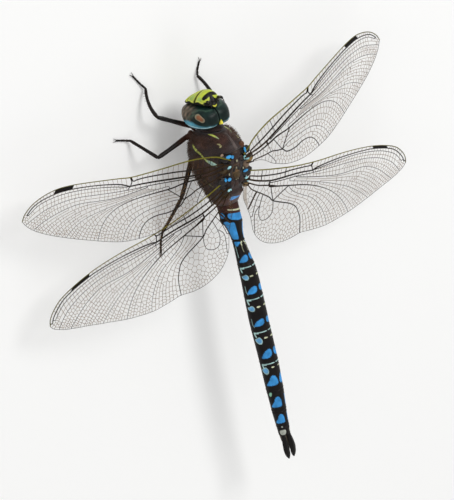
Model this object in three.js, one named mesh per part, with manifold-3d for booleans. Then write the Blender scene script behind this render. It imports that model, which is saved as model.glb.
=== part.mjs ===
// A male hawker dragonfly at life size, standing on a level floor with its wings open.
// Millimetres. The animal looks along -Y, its left is +X, and +Z is up.
// Sizes are given in a body frame: x = 0 is the middle plane, y = 0 is between the wing roots,
// and z = 0 is the floor. At the end the whole animal is moved along Y so that its box is centred.
import * as THREE from 'three';
import { mergeVertices } from 'three/addons/utils/BufferGeometryUtils.js';
import Module from 'manifold-3d';

const wasm = await Module();
wasm.setup();

// ---------------------------------------------------------------- driving dimensions
const CUT = 0.1;                    // thin cut between neighbouring pieces
const MIDDLE_CUT = 0.05;            // half of the cut between the two eyes
const FEELER_RADIUS = 0.25;         // thinnest leg joint or feeler
const WING_THICKNESS = 0.5;
const WING_ROOT_INSET = 0.45;       // how far the root edge reaches inward of the root point

// Each eye is a rounded form that would reach past the middle plane: it is flat there, which makes the seam.
// Its upper part leans inward, and its upper and outer parts lie further back.
const EYE = {
  centre: [1.87, -10.65, 8.35],
  half: [2.4, 2.15, 3.6],
  power: 2.7,
  lean: 0.22,
  backOut: 0.09,
  backUp: 0.19,
};

// The back of the face is a shallow V: it starts between the eyes and runs forward to the cheeks.
const FACE_BACK = { middle: -12.3, forwardPerWidth: 0.36 };

const WINGS = {
  forewing: {
    root: [3.14, -2.88, 14.74],
    left: { sweep: 11, droop: -9.5, twist: -4 },
    right: { sweep: 13, droop: -10.5, twist: -4 },
    leading: [[0, -0.5], [4, -1.3], [8, -1.55], [12, -1.0], [16, -0.45], [20.7, 0], [26, -0.3],
      [31, -0.35], [35, 0], [38.5, 0.6], [41.5, 1.75], [43.2, 3.4], [43.7, 5.2]],
    trailing: [[0, 1.7], [2.2, 3.6], [5, 6.6], [8.7, 9.6], [12.2, 11.2], [16, 12.4], [21, 12.9], [25, 12.3],
      [29, 11.3], [33, 10.3], [37, 9.2], [40.4, 7.9], [42.6, 6.7], [43.7, 5.2]],
  },
  hindwing: {
    root: [3.64, 2.18, 12.94],
    left: { sweep: -13.5, droop: -8.2, twist: -3 },
    right: { sweep: -16, droop: -7.5, twist: -14 },
    leading: [[0, -0.5], [3.7, -0.25], [8, 0], [12.5, 0.15], [16.8, 0], [20.5, -0.4], [25, -1.05],
      [29.3, -1.45], [33.5, -1.5], [37.5, -1.25], [41, -0.45], [43.2, 0.8], [44.5, 2.4]],
    trailing: [[0, 2.6], [0.6, 6.0], [2.4, 9.0], [4.4, 12.9], [7.4, 15.2], [11, 16.0], [15, 15.9],
      [19.5, 15.2], [25, 13.9], [30, 11.9], [34.5, 9.9], [38.5, 7.9], [42, 5.8], [44.5, 2.4]],
  },
};

// Each leg: where it leaves the body, its knee, its ankle and the end of its foot.
const LEGS = {
  fore_left: { hip: [1.6, -8.0, 4.9], knee: [7.9, -12.0, 3.6], ankle: [7.0, -17.0, 0.55], toe: [9.1, -20.3] },
  fore_right: { hip: [-1.6, -8.0, 4.9], knee: [-6.3, -10.9, 3.0], ankle: [-5.5, -14.85, 0.55], toe: [-6.9, -17.1] },
  mid_left: { hip: [2.4, -6.4, 4.6], knee: [10.8, -5.15, 5.0], ankle: [13.0, -8.8, 0.6], toe: [15.9, -9.9] },
  mid_right: { hip: [-2.4, -6.4, 4.6], knee: [-6.6, -2.6, 5.2], ankle: [-6.9, -6.3, 0.6], toe: [-7.6, -9.2] },
  hind_left: { hip: [2.2, -2.2, 4.2], knee: [8.2, 4.0, 6.0], ankle: [10.1, 11.0, 0.6], toe: [11.1, 14.9] },
  hind_right: { hip: [-2.2, -2.2, 4.2], knee: [-6.8, 3.6, 6.0], ankle: [-8.0, 10.2, 0.6], toe: [-8.6, 13.8] },
};
const LEG_RADII = { hip: 0.62, thigh: 0.46, knee: 0.38, shin: 0.3, ankle: 0.27, foot: FEELER_RADIUS };
const LEG_GAPS = { aboveKnee: 0.15, belowKnee: 0.45, aboveAnkle: 0.3 };
const FOOT_HEIGHT = 0.2;            // the middle of a foot; its underside is a flat on the floor
const CLAW = { length: 0.75, buried: 0.3, spread: 0.32, radius: 0.17 };

const CERCUS = { base: [0.72, 54.45, 12.1], length: 4.3, width: 0.5, rise: 0.4 };

// ---------------------------------------------------------------- materials
const finish = (color, roughness) => new THREE.MeshStandardMaterial({ color, roughness, metalness: 0 });
const FINISH = {
  face: () => finish(0xa9c23c, 0.45),
  jaws: () => finish(0x5a4a2c, 0.5),
  eye: () => finish(0x2c4a4c, 0.2),
  thorax: () => finish(0x3b2c27, 0.6),
  segment: () => finish(0x1a2230, 0.45),
  blue: () => finish(0x3f7fb4, 0.45),
  wing: () => finish(0xb9ad90, 0.3),
  leg: () => finish(0x1c1412, 0.4),
};

// ---------------------------------------------------------------- mesh helpers
const signedPower = (value, power) => Math.sign(value) * Math.abs(value) ** power;
// Calls make(i, t) for a count of steps, with t going from 0 to 1.
const spread = (count, make) => Array.from({ length: count }, (_, i) => make(i, i / Math.max(count - 1, 1)));
const vector = (p) => new THREE.Vector3(...p);

function signedVolume(points, faces) {
  return faces.reduce((sum, [a, b, c]) => sum + points[a].dot(points[b].clone().cross(points[c])) / 6, 0);
}

function solid(points, faces) {
  const outward = signedVolume(points, faces) > 0;
  const geometry = new THREE.BufferGeometry();
  geometry.setAttribute('position', new THREE.Float32BufferAttribute(points.flatMap((p) => p.toArray()), 3));
  geometry.setIndex(faces.flatMap(([a, b, c]) => (outward ? [a, b, c] : [a, c, b])));
  geometry.computeVertexNormals();
  return geometry;
}

// Joins closed rings of points, one after another, and closes both ends with a fan.
function loft(rings) {
  const around = rings[0].length;
  const points = rings.flat();
  const faces = [];
  for (let k = 0; k < rings.length - 1; k += 1) {
    for (let i = 0; i < around; i += 1) {
      const [a, b] = [k * around + i, k * around + ((i + 1) % around)];
      faces.push([a, b, b + around], [a, b + around, a + around]);
    }
  }
  const cap = (start, flip) => {
    const middle = new THREE.Vector3();
    for (let i = 0; i < around; i += 1) middle.addScaledVector(points[start + i], 1 / around);
    const centre = points.push(middle) - 1;
    for (let i = 0; i < around; i += 1) {
      const [a, b] = [start + i, start + ((i + 1) % around)];
      faces.push(flip ? [centre, b, a] : [centre, a, b]);
    }
  };
  cap(0, true);
  cap((rings.length - 1) * around, false);
  return solid(points, faces);
}

// A rounded upright section across the body: a superellipse whose upper half may be drawn in.
function section({ y, top, bottom, width, power = 2.3, taper = 0 }, around, grow = 0) {
  const [middle, half] = [(top + bottom) / 2, (top - bottom) / 2 + grow];
  return spread(around, (i) => {
    const turn = (2 * Math.PI * i) / around;
    const up = signedPower(Math.sin(turn), 2 / power);
    const out = signedPower(Math.cos(turn), 2 / power) * (1 - taper * Math.max(up, 0));
    return new THREE.Vector3((width + grow) * out, y, middle + half * up);
  });
}

// A round bar through a few points, with its own radius at each.
function bar(stops, around, lowest = -Infinity) {
  const centres = stops.map(({ at }) => vector(at));
  const rings = centres.map((centre, k) => {
    const before = centres[Math.max(k - 1, 0)];
    const after = centres[Math.min(k + 1, centres.length - 1)];
    const along = after.clone().sub(before).normalize();
    const side = new THREE.Vector3(0, 0, 1).cross(along).normalize();
    const over = along.clone().cross(side);
    return spread(around, (i) => {
      const turn = (2 * Math.PI * (i + 0.5)) / around;
      const p = centre.clone().addScaledVector(side, stops[k].radius * Math.cos(turn));
      p.addScaledVector(over, stops[k].radius * Math.sin(turn));
      p.z = Math.max(p.z, lowest);
      return p;
    });
  });
  return loft(rings);
}

// ---------------------------------------------------------------- cuts and joins
function toManifold(geometry) {
  const bare = geometry.clone();
  bare.deleteAttribute('normal');
  const merged = mergeVertices(bare, 1e-4);
  return new wasm.Manifold(new wasm.Mesh({
    numProp: 3,
    vertProperties: new Float32Array(merged.attributes.position.array),
    triVerts: new Uint32Array(merged.index.array),
  }));
}

function fromManifold(body) {
  const { numProp, vertProperties, triVerts } = body.getMesh();
  const positions = [];
  for (let i = 0; i < vertProperties.length; i += numProp) positions.push(...vertProperties.slice(i, i + 3));
  const geometry = new THREE.BufferGeometry();
  geometry.setAttribute('position', new THREE.Float32BufferAttribute(positions, 3));
  geometry.setIndex(Array.from(triVerts));
  const merged = mergeVertices(geometry, 2e-3);
  merged.computeVertexNormals();
  return merged;
}

const cutBy = (geometry, ...cutters) => fromManifold(
  cutters.reduce((body, cutter) => body.subtract(toManifold(cutter)), toManifold(geometry)),
);
const joined = (...geometries) => fromManifold(
  geometries.slice(1).reduce((body, other) => body.add(toManifold(other)), toManifold(geometries[0])),
);

// ---------------------------------------------------------------- head
function eye(side) {
  const { centre, half, power, lean, backOut, backUp } = EYE;
  const [rings, around] = [13, 22];
  return loft(spread(rings, (k, t) => {
    const along = -Math.cos(Math.PI * (0.06 + 0.88 * t));
    const size = (1 - Math.abs(along) ** power) ** (1 / power);
    return spread(around, (i) => {
      const turn = (2 * Math.PI * i) / around;
      const up = signedPower(Math.sin(turn), 2 / power) * size * half[2];
      const out = signedPower(Math.cos(turn), 2 / power) * size * half[0];
      const x = Math.max(centre[0] + out - lean * Math.max(up, 0), MIDDLE_CUT);
      const y = centre[1] + along * half[1] + backOut * out + backUp * up;
      return new THREE.Vector3(side * x, y, centre[2] + up);
    });
  }));
}

// The face is a stack of level slices from the lip up to the brow. The front of a slice is round
// (1 is an ellipse, less is squarer), and its back follows the V between the eyes.
const FACE_SLICES = [
  { z: 5.1, width: 2.1, front: -13.7, round: 0.8 },
  { z: 5.7, width: 2.6, front: -14.15, round: 0.75 },
  { z: 6.6, width: 2.95, front: -14.6, round: 0.85 },
  { z: 7.5, width: 3.05, front: -14.95, round: 0.95 },
  { z: 8.3, width: 2.85, front: -15.1, round: 1 },
  { z: 9.0, width: 2.55, front: -15.2, round: 1 },
  { z: 9.3, width: 2.4, front: -15.3, round: 1 },
  { z: 9.9, width: 2.25, front: -15.2, round: 1 },
  { z: 10.4, width: 1.95, front: -14.8, round: 1 },
  { z: 10.7, width: 1.6, front: -14.2, round: 1 },
];

function faceSolid(grow = 0) {
  const around = 20;
  const { middle, forwardPerWidth } = FACE_BACK;
  return loft(FACE_SLICES.map(({ z, width, front, round }, k) => {
    const lift = (k === FACE_SLICES.length - 1 ? grow : 0) - (k === 0 ? grow : 0);
    return spread(around, (i) => {
      const turn = (2 * Math.PI * i) / around;
      const x = (width + grow) * signedPower(Math.cos(turn), round);
      const back = middle + grow - forwardPerWidth * Math.abs(x);
      const forward = Math.max(signedPower(Math.sin(turn), round), 0);
      const reach = Math.max(back - (front - grow), 0.3);
      return new THREE.Vector3(x, back - forward * reach - (i % (around / 2) === 0 ? 0.1 : 0), z + lift);
    });
  }));
}

const CROWN = [
  { y: -13.6, top: 11.0, bottom: 9.6, width: 0.9 },
  { y: -13.0, top: 11.45, bottom: 9.6, width: 1.2 },
  { y: -12.5, top: 11.6, bottom: 9.6, width: 1.0 },
  { y: -11.9, top: 11.5, bottom: 9.6, width: 0.5 },
];
const SKULL = [
  { y: -12.9, top: 8.4, bottom: 4.9, width: 1.8 },
  { y: -12.0, top: 8.8, bottom: 4.7, width: 2.0 },
  { y: -10.2, top: 8.8, bottom: 4.8, width: 1.9 },
  { y: -8.8, top: 9.4, bottom: 5.6, width: 1.7 },
  { y: -8.35, top: 9.6, bottom: 6.4, width: 1.4 },
];

function headPieces() {
  const crown = (grow) => loft(CROWN.map((s) => section(s, 14, grow)));
  const skull = (grow) => loft(SKULL.map((s) => section(s, 16, grow)));
  const face = joined(faceSolid(), crown(0));
  const aroundFace = joined(faceSolid(CUT), crown(CUT));
  const cutEye = (side) => cutBy(eye(side), aroundFace, skull(CUT));
  return { face, head: cutBy(skull(0), aroundFace), eye_left: cutEye(1), eye_right: cutEye(-1) };
}

const antenna = (side) => bar([
  { at: [side * 1.35, -13.75, 11.05], radius: 0.34 },
  { at: [side * 1.5, -13.9, 11.5], radius: 0.32 },
  { at: [side * 1.8, -14.15, 12.05], radius: FEELER_RADIUS },
  { at: [side * 2.3, -14.6, 12.75], radius: FEELER_RADIUS },
], 6);

// ---------------------------------------------------------------- thorax
const THORAX_SECTIONS = [
  { y: -7.35, top: 12.0, bottom: 5.8, width: 2.3 },
  { y: -7.0, top: 12.9, bottom: 5.0, width: 3.0 },
  { y: -6.2, top: 13.8, bottom: 4.3, width: 3.6 },
  { y: -5.2, top: 14.6, bottom: 3.8, width: 4.0 },
  { y: -4.2, top: 15.0, bottom: 3.6, width: 4.15 },
  { y: -3.0, top: 14.8, bottom: 3.5, width: 4.25 },
  { y: -1.2, top: 14.35, bottom: 3.5, width: 4.25 },
  { y: 0.8, top: 13.8, bottom: 3.8, width: 4.15 },
  { y: 2.6, top: 13.3, bottom: 4.5, width: 3.9 },
  { y: 4.2, top: 12.75, bottom: 5.3, width: 3.45 },
  { y: 5.7, top: 12.0, bottom: 5.9, width: 2.9 },
  { y: 6.9, top: 11.2, bottom: 6.3, width: 2.45 },
  { y: 7.4, top: 10.9, bottom: 6.5, width: 2.2 },
];

// In front of the wings the back is a rounded ridge; between and behind them it is broad and flat.
function thoraxSolid(grow = 0) {
  const ridged = { y: -7.35, power: 2.0, taper: 0.2 };
  const broad = { y: -3.2, power: 2.7, taper: 0.06 };
  return loft(THORAX_SECTIONS.map((s) => {
    const t = THREE.MathUtils.smoothstep(s.y, ridged.y, broad.y);
    const power = THREE.MathUtils.lerp(ridged.power, broad.power, t);
    const taper = THREE.MathUtils.lerp(ridged.taper, broad.taper, t);
    return section({ ...s, power, taper }, 24, grow);
  }));
}

const prothorax = () => loft([
  { y: -8.2, top: 11.0, bottom: 6.6, width: 1.3 },
  { y: -8.0, top: 11.5, bottom: 6.0, width: 1.8 },
  { y: -7.75, top: 11.8, bottom: 5.7, width: 2.1 },
  { y: -7.45, top: 11.7, bottom: 5.7, width: 2.1 },
].map((s) => section(s, 18)));

// ---------------------------------------------------------------- abdomen
// Joints between the ten segments, and the half width of the abdomen along its length.
const JOINTS = [7.5, 9.4, 13.8, 20.3, 26.55, 33.0, 39.5, 45.0, 49.3, 52.7, 54.3];
const GIRTH = [[7.5, 2.15], [9.4, 2.1], [11.2, 2.1], [13.0, 1.5], [14.8, 1.25], [17, 1.36], [20.3, 1.72],
  [24, 1.82], [33, 1.84], [39.5, 1.8], [45, 1.66], [49.3, 1.42], [52.7, 1.24], [54.3, 1.1]];
const AXIS = [[7.5, 8.75], [11, 9.1], [15, 9.9], [20.5, 10.85], [30, 11.5], [40, 11.9], [48, 11.95],
  [54.3, 11.85]];
const DEPTH_SHARE = 0.95;
const JOINT_PINCH = 0.06;

// Reads a height or a width from a short list of [y, value].
function along(stops, y) {
  const k = Math.max(stops.findIndex(([at]) => at >= y), 1);
  const [[y0, from], [y1, to]] = [stops[k - 1], stops[k]];
  return THREE.MathUtils.lerp(from, to, THREE.MathUtils.clamp((y - y0) / (y1 - y0), 0, 1));
}

function segment(number) {
  const [from, to] = [JOINTS[number - 1] + CUT / 2, JOINTS[number] - CUT / 2];
  const stations = number === 2 || number === 3 ? 6 : 4;
  return loft(spread(stations, (k, t) => {
    const y = THREE.MathUtils.lerp(from, to, t);
    const edge = k === 0 || k === stations - 1 ? JOINT_PINCH : 0;
    const width = along(GIRTH, y) - edge;
    const middle = along(AXIS, y);
    const depth = width * DEPTH_SHARE * (number === 1 ? 1.02 : 1);
    return section({ y, top: middle + depth, bottom: middle - depth, width, power: 2.2 }, 20);
  }));
}

// The second segment carries an ear-like knob on each side.
function segmentWithKnobs(number) {
  const knob = (side) => loft([
    { y: 10.2, top: 9.6, bottom: 8.3, width: 0.3 },
    { y: 10.9, top: 9.8, bottom: 8.1, width: 0.62 },
    { y: 11.6, top: 9.7, bottom: 8.2, width: 0.6 },
    { y: 12.0, top: 9.5, bottom: 8.4, width: 0.3 },
  ].map((s) => section(s, 10).map((p) => p.add(new THREE.Vector3(side * 2.0, 0, 0)))));
  return joined(segment(number), knob(1), knob(-1));
}

// Upper claspers: narrow at the base, broad and flat further out, then pointed.
function cercus(side) {
  const { base, length, width, rise } = CERCUS;
  const stops = [[0, 0.42, 0.3], [0.15, 0.4, 0.28], [0.35, 0.75, 0.26], [0.6, 1, 0.26], [0.8, 0.9, 0.25],
    [0.93, 0.55, 0.22], [1, 0.2, 0.12]];
  return loft(stops.map(([t, broad, thick]) => {
    const centre = vector([
      side * (base[0] + 0.2 * Math.sin(Math.PI * t) - 0.12 * t),
      base[1] + length * t,
      base[2] + rise * t + 0.12 * Math.sin(Math.PI * t),
    ]);
    return spread(10, (i) => {
      const turn = (2 * Math.PI * i) / 10;
      return centre.clone().add(new THREE.Vector3(width * broad * Math.cos(turn), 0, thick * Math.sin(turn)));
    });
  }));
}

const epiproct = () => loft([[0, 0.55], [0.3, 0.5], [0.7, 0.36], [1, 0.16]].map(([t, broad]) => section({
  y: CERCUS.base[1] + 2.5 * t,
  top: 11.5 + 0.35 * t,
  bottom: 11.0 + 0.45 * t,
  width: broad,
}, 10)));

// ---------------------------------------------------------------- wings
function wing(kind, side) {
  const { root, leading, trailing } = WINGS[kind];
  const { sweep, droop, twist } = WINGS[kind][side > 0 ? 'left' : 'right'];
  const [a, b, c] = [sweep, droop, twist].map(THREE.MathUtils.degToRad);
  const span = new THREE.Vector3(side * Math.cos(a) * Math.cos(b), -Math.sin(a) * Math.cos(b), Math.sin(b));
  const rear = new THREE.Vector3(0, 1, 0);
  rear.addScaledVector(span, -rear.dot(span)).normalize();
  const up = span.clone().cross(rear).multiplyScalar(side);
  const chord = rear.clone().multiplyScalar(Math.cos(c)).addScaledVector(up, Math.sin(c));
  const over = span.clone().cross(chord).multiplyScalar(side);
  const edge = (stops) => new THREE.SplineCurve(
    stops.map(([s, t]) => new THREE.Vector2(s - (s === 0 ? WING_ROOT_INSET : 0), t)),
  );
  const [front, back] = [edge(leading), edge(trailing)];
  const [spans, chords] = [21, 3];
  const place = (flat, lift) => vector([side * root[0], root[1], root[2]])
    .addScaledVector(span, flat.x).addScaledVector(chord, flat.y).addScaledVector(over, lift);
  const sheet = spread(spans, (k) => {
    const t = k / spans;
    const [p, q] = [front.getPoint(t), back.getPoint(t)];
    return spread(chords + 1, (j, u) => p.clone().lerp(q, u));
  });
  const apex = front.getPoint(1);
  const points = [];
  const faces = [];
  const row = chords + 1;
  for (const lift of [WING_THICKNESS / 2, -WING_THICKNESS / 2]) {
    sheet.flat().forEach((flat) => points.push(place(flat, lift)));
    points.push(place(apex, lift));
  }
  const layer = spans * row + 1;
  const quad = (p, q, r, s) => faces.push([p, q, r], [p, r, s]);
  for (let k = 0; k < spans - 1; k += 1) {
    for (let j = 0; j < chords; j += 1) {
      const at = k * row + j;
      quad(at, at + row, at + row + 1, at + 1);
      quad(layer + at, layer + at + 1, layer + at + row + 1, layer + at + row);
    }
  }
  const last = (spans - 1) * row;
  const tip = spans * row;
  for (let j = 0; j < chords; j += 1) {
    faces.push([last + j, tip, last + j + 1], [layer + last + j, layer + last + j + 1, layer + tip]);
  }
  const rim = [
    ...spread(spans, (k) => k * row), tip,
    ...spread(spans, (k) => (spans - 1 - k) * row + chords),
    ...spread(chords - 1, (j) => chords - 1 - j),
  ];
  rim.forEach((from, k) => {
    const to = rim[(k + 1) % rim.length];
    quad(from, layer + from, layer + to, to);
  });
  return solid(points, faces);
}

// ---------------------------------------------------------------- legs
const between = (p, q, t) => p.map((value, k) => THREE.MathUtils.lerp(value, q[k], t));

// A point on the line from p to q that stops short of q by a gap.
function shortOf(p, q, gap) {
  const length = Math.hypot(...p.map((value, k) => q[k] - value));
  return between(p, q, 1 - gap / length);
}

function leg({ hip, knee, ankle, toe }) {
  const R = LEG_RADII;
  const toeEnd = [...toe, FOOT_HEIGHT];
  const foot = [ankle[0], ankle[1], FOOT_HEIGHT];
  const kneeEnd = shortOf(hip, knee, LEG_GAPS.aboveKnee);
  const kneeStart = shortOf(ankle, knee, LEG_GAPS.belowKnee);
  const ankleEnd = shortOf(knee, ankle, LEG_GAPS.aboveAnkle);
  const footStart = between(foot, toeEnd, 0.06);
  const heading = vector(toeEnd).sub(vector(foot)).setZ(0).normalize();
  const across = new THREE.Vector3(-heading.y, heading.x, 0);
  const claw = (sign) => {
    const beside = (ahead, aside) => vector(toeEnd).addScaledVector(heading, ahead)
      .addScaledVector(across, sign * aside).toArray();
    return bar([
      { at: beside(-CLAW.buried, CLAW.spread / 5), radius: CLAW.radius },
      { at: beside(CLAW.length - CLAW.buried, CLAW.spread), radius: CLAW.radius * 0.6 },
    ], 6, 0);
  };
  const sole = bar([0, 0.3, 0.55, 0.8, 1].map((t, k) => ({
    at: between(footStart, toeEnd, t),
    radius: R.foot * (k % 2 ? 1.12 : 1),
  })), 8, 0);
  return {
    femur: bar([
      { at: hip, radius: R.hip },
      { at: between(hip, kneeEnd, 0.12), radius: R.hip },
      { at: between(hip, kneeEnd, 0.22), radius: R.thigh },
      { at: between(hip, kneeEnd, 0.6), radius: R.thigh },
      { at: kneeEnd, radius: R.knee },
    ], 8),
    tibia: bar([
      { at: kneeStart, radius: R.shin },
      { at: between(kneeStart, ankleEnd, 0.15), radius: R.shin },
      { at: ankleEnd, radius: R.ankle },
    ], 8),
    tarsus: joined(sole, claw(1), claw(-1)),
  };
}

// ---------------------------------------------------------------- the animal
const dragonfly = new THREE.Group();

function add(name, geometry, material) {
  const mesh = new THREE.Mesh(geometry, material);
  mesh.name = name;
  dragonfly.add(mesh);
}

const { face, head, eye_left: eyeLeft, eye_right: eyeRight } = headPieces();
add('face', face, FINISH.face());
add('head', head, FINISH.jaws());
add('eye_left', eyeLeft, FINISH.eye());
add('eye_right', eyeRight, FINISH.eye());
add('prothorax', prothorax(), FINISH.thorax());
add('thorax', thoraxSolid(), FINISH.thorax());
for (let number = 1; number <= 10; number += 1) {
  const geometry = number === 2 ? segmentWithKnobs(number) : segment(number);
  add(`abdomen_${number}`, geometry, number === 2 ? FINISH.blue() : FINISH.segment());
}
add('epiproct', epiproct(), FINISH.leg());

for (const [side, word] of [[1, 'left'], [-1, 'right']]) {
  add(`antenna_${word}`, antenna(side), FINISH.leg());
  add(`cercus_${word}`, cercus(side), FINISH.leg());
  add(`forewing_${word}`, wing('forewing', side), FINISH.wing());
  add(`hindwing_${word}`, wing('hindwing', side), FINISH.wing());
}

const thoraxCutter = thoraxSolid(CUT);
for (const [name, stops] of Object.entries(LEGS)) {
  const { femur, tibia, tarsus } = leg(stops);
  add(`${name}_femur`, cutBy(femur, thoraxCutter), FINISH.leg());
  add(`${name}_tibia`, tibia, FINISH.leg());
  add(`${name}_tarsus`, tarsus, FINISH.leg());
}

const box = new THREE.Box3().setFromObject(dragonfly);
dragonfly.position.set(-(box.min.x + box.max.x) / 2, -(box.min.y + box.max.y) / 2, -box.min.z);

export default dragonfly;
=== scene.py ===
# %% [markdown]
# # A male hawker dragonfly, life size
# This lesson dresses a packed set of plain solids as a finished museum model. The solids give
# the true sizes, so every piece made here is built round them and never moves them.
# Lengths are written in millimetres in the animal's own frame: it looks along -Y, its left is
# +X, the floor is Z = 0, and Y = 0 lies between its wing roots.

# %% Load the frame
import math

import bpy
import bmesh
import numpy as np
from mathutils import Matrix, Vector
from mathutils.geometry import delaunay_2d_cdt


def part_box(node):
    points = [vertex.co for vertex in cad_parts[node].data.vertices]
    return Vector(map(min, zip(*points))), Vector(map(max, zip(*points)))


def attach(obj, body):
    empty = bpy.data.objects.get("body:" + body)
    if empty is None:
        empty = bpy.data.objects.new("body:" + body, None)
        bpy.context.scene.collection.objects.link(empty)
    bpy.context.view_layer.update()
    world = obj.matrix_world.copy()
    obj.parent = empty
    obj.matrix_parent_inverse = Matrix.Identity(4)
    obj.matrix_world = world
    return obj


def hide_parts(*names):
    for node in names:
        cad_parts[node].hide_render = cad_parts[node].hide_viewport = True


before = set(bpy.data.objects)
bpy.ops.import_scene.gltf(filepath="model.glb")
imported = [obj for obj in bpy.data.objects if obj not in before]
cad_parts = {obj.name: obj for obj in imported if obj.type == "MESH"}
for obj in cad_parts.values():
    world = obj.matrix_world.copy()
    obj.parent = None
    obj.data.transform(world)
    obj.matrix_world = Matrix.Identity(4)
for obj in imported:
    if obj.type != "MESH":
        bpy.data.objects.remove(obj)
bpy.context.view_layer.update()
print("nodes in the frame:", len(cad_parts))

# %% [markdown]
# ## One frame for all pieces
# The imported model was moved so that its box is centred. The thorax is the one solid whose place in the
# animal's frame is simple: it is symmetric, and its front face has a known Y. Its box therefore gives the
# shift between the two frames, with nothing fitted by eye.

# %% Find the shift from the thorax
MM = 0.001
THORAX_FRONT = -7.35
thorax_low, thorax_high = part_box("thorax")
SHIFT = np.array([(thorax_low.x + thorax_high.x) / 2 / MM, thorax_low.y / MM - THORAX_FRONT, 0.0])


def in_metres(points):
    return (np.asarray(points, float).reshape(-1, 3) + SHIFT) * MM


print("shift of the animal's frame in mm:", SHIFT.round(3))

# %% [markdown]
# ## Small tools of the trade
# Most parts of an insect are shells: closed rings laid one behind another. So the first tools are a soft
# step, a smooth line through named points, and one function that turns points and faces into a piece, which
# rides on the body. A marking is a mask: a number from 0 to 1 at every point, which the material turns into
# paint. It is sharp, it needs no picture, and it survives export.

# %% Soft step and smooth line


def ramp(value, start, end):
    t = np.clip((np.asarray(value, float) - start) / (end - start), 0, 1)
    return t * t * (3 - 2 * t)


def smooth_line(stops, count):
    """A smooth line through the stops, evenly stepped from stop to stop."""
    stops = np.asarray(stops, float)
    at = np.linspace(0, len(stops) - 1, count)
    k = np.minimum(at.astype(int), len(stops) - 2)
    t = (at - k)[:, None]
    before, after = stops[np.maximum(k - 1, 0)], stops[np.minimum(k + 2, len(stops) - 1)]
    a, b = stops[k], stops[k + 1]
    v0, v1 = (b - before) / 2, (after - a) / 2
    return ((2 * a - 2 * b + v0 + v1) * t**3 + (-3 * a + 3 * b - 2 * v0 - v1) * t**2 + v0 * t + a)


print("soft step:", ramp([0.25, 0.5], 0, 1))

# %% Make a piece


def make_piece(name, points, faces, finish, slot, replaces=(), masks=None, smooth=True):
    mesh = bpy.data.meshes.new(name)
    mesh.from_pydata(in_metres(points).tolist(), [], faces)
    for key, values in (masks or {}).items():
        layer = mesh.attributes.new(key, "FLOAT", "POINT")
        layer.data.foreach_set("value", np.asarray(values, np.float32).ravel())
    mesh.materials.append(finish)
    mesh.polygons.foreach_set("use_smooth", np.full(len(mesh.polygons), smooth))
    work = bmesh.new()
    work.from_mesh(mesh)
    bmesh.ops.recalc_face_normals(work, faces=work.faces)
    work.to_mesh(mesh)
    work.free()
    piece = bpy.data.objects.new(name, mesh)
    bpy.context.scene.collection.objects.link(piece)
    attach(piece, "root")
    if replaces:
        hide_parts(*replaces)
    print(f"{name}: {len(mesh.vertices)} points, {len(mesh.polygons)} faces")
    return piece


print("metres in a millimetre:", MM)

# %% [markdown]
# ## Nodes of a finish
# A finish is a small net of nodes. These helpers make a node and fill its sockets in one line, with plain
# values or other nodes' outputs, and turn colours as written on paper to linear light.

# %% Colours and nodes


def colour(code):
    parts = [int(code[i:i + 2], 16) / 255 for i in (1, 3, 5)]
    return (*[c / 12.92 if c <= 0.04045 else ((c + 0.055) / 1.055) ** 2.4 for c in parts], 1.0)


def fill(tree, node, sockets):
    """Gives each named socket a value, or a link from another node's output."""
    for key, value in sockets.items():
        if isinstance(value, bpy.types.NodeSocket):
            tree.links.new(value, node.inputs[key])
        else:
            node.inputs[key].default_value = value
    return node


def add_node(tree, kind, sockets):
    return fill(tree, tree.nodes.new("ShaderNode" + kind), sockets).outputs


def read_mask(tree, name):
    read = tree.nodes.new("ShaderNodeAttribute")
    read.attribute_name = name
    return read.outputs["Fac"]


def lay_over(tree, share, under, over):
    """Paints one colour over another by a share from 0 to 1."""
    mix = tree.nodes.new("ShaderNodeMix")
    mix.data_type = "RGBA"
    return fill(tree, mix, {"Factor": share, "A": under, "B": over}).outputs["Result"]


def between(tree, value, low, high, start=0.0, end=1.0):
    """Moves a value that runs from start to end into the stretch from low to high."""
    sockets = {"Value": value, "From Min": start, "From Max": end, "To Min": low, "To Max": high}
    return add_node(tree, "MapRange", sockets)["Result"]


def new_finish(name):
    finish = bpy.data.materials.new(name)
    finish.use_nodes = True
    return finish, finish.node_tree


print("mid grey in linear light:", round(colour("#808080")[0], 3))

# %% [markdown]
# ## Shell
# Insect shell is pigment with a faint mottle under thin wax, and its surface is finely pitted. Each finish
# starts from a ground colour, lays marks over it through the masks, breaks both up with a little noise, and
# adds pits as bump. A clear coat stands for the wax.

# %% Build a shell finish
MOTTLE_SCALE, PIT_DEPTH = 900.0, 0.00003
ROUGH_SPREAD, WAX_ROUGHNESS = 0.12, 0.15


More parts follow.
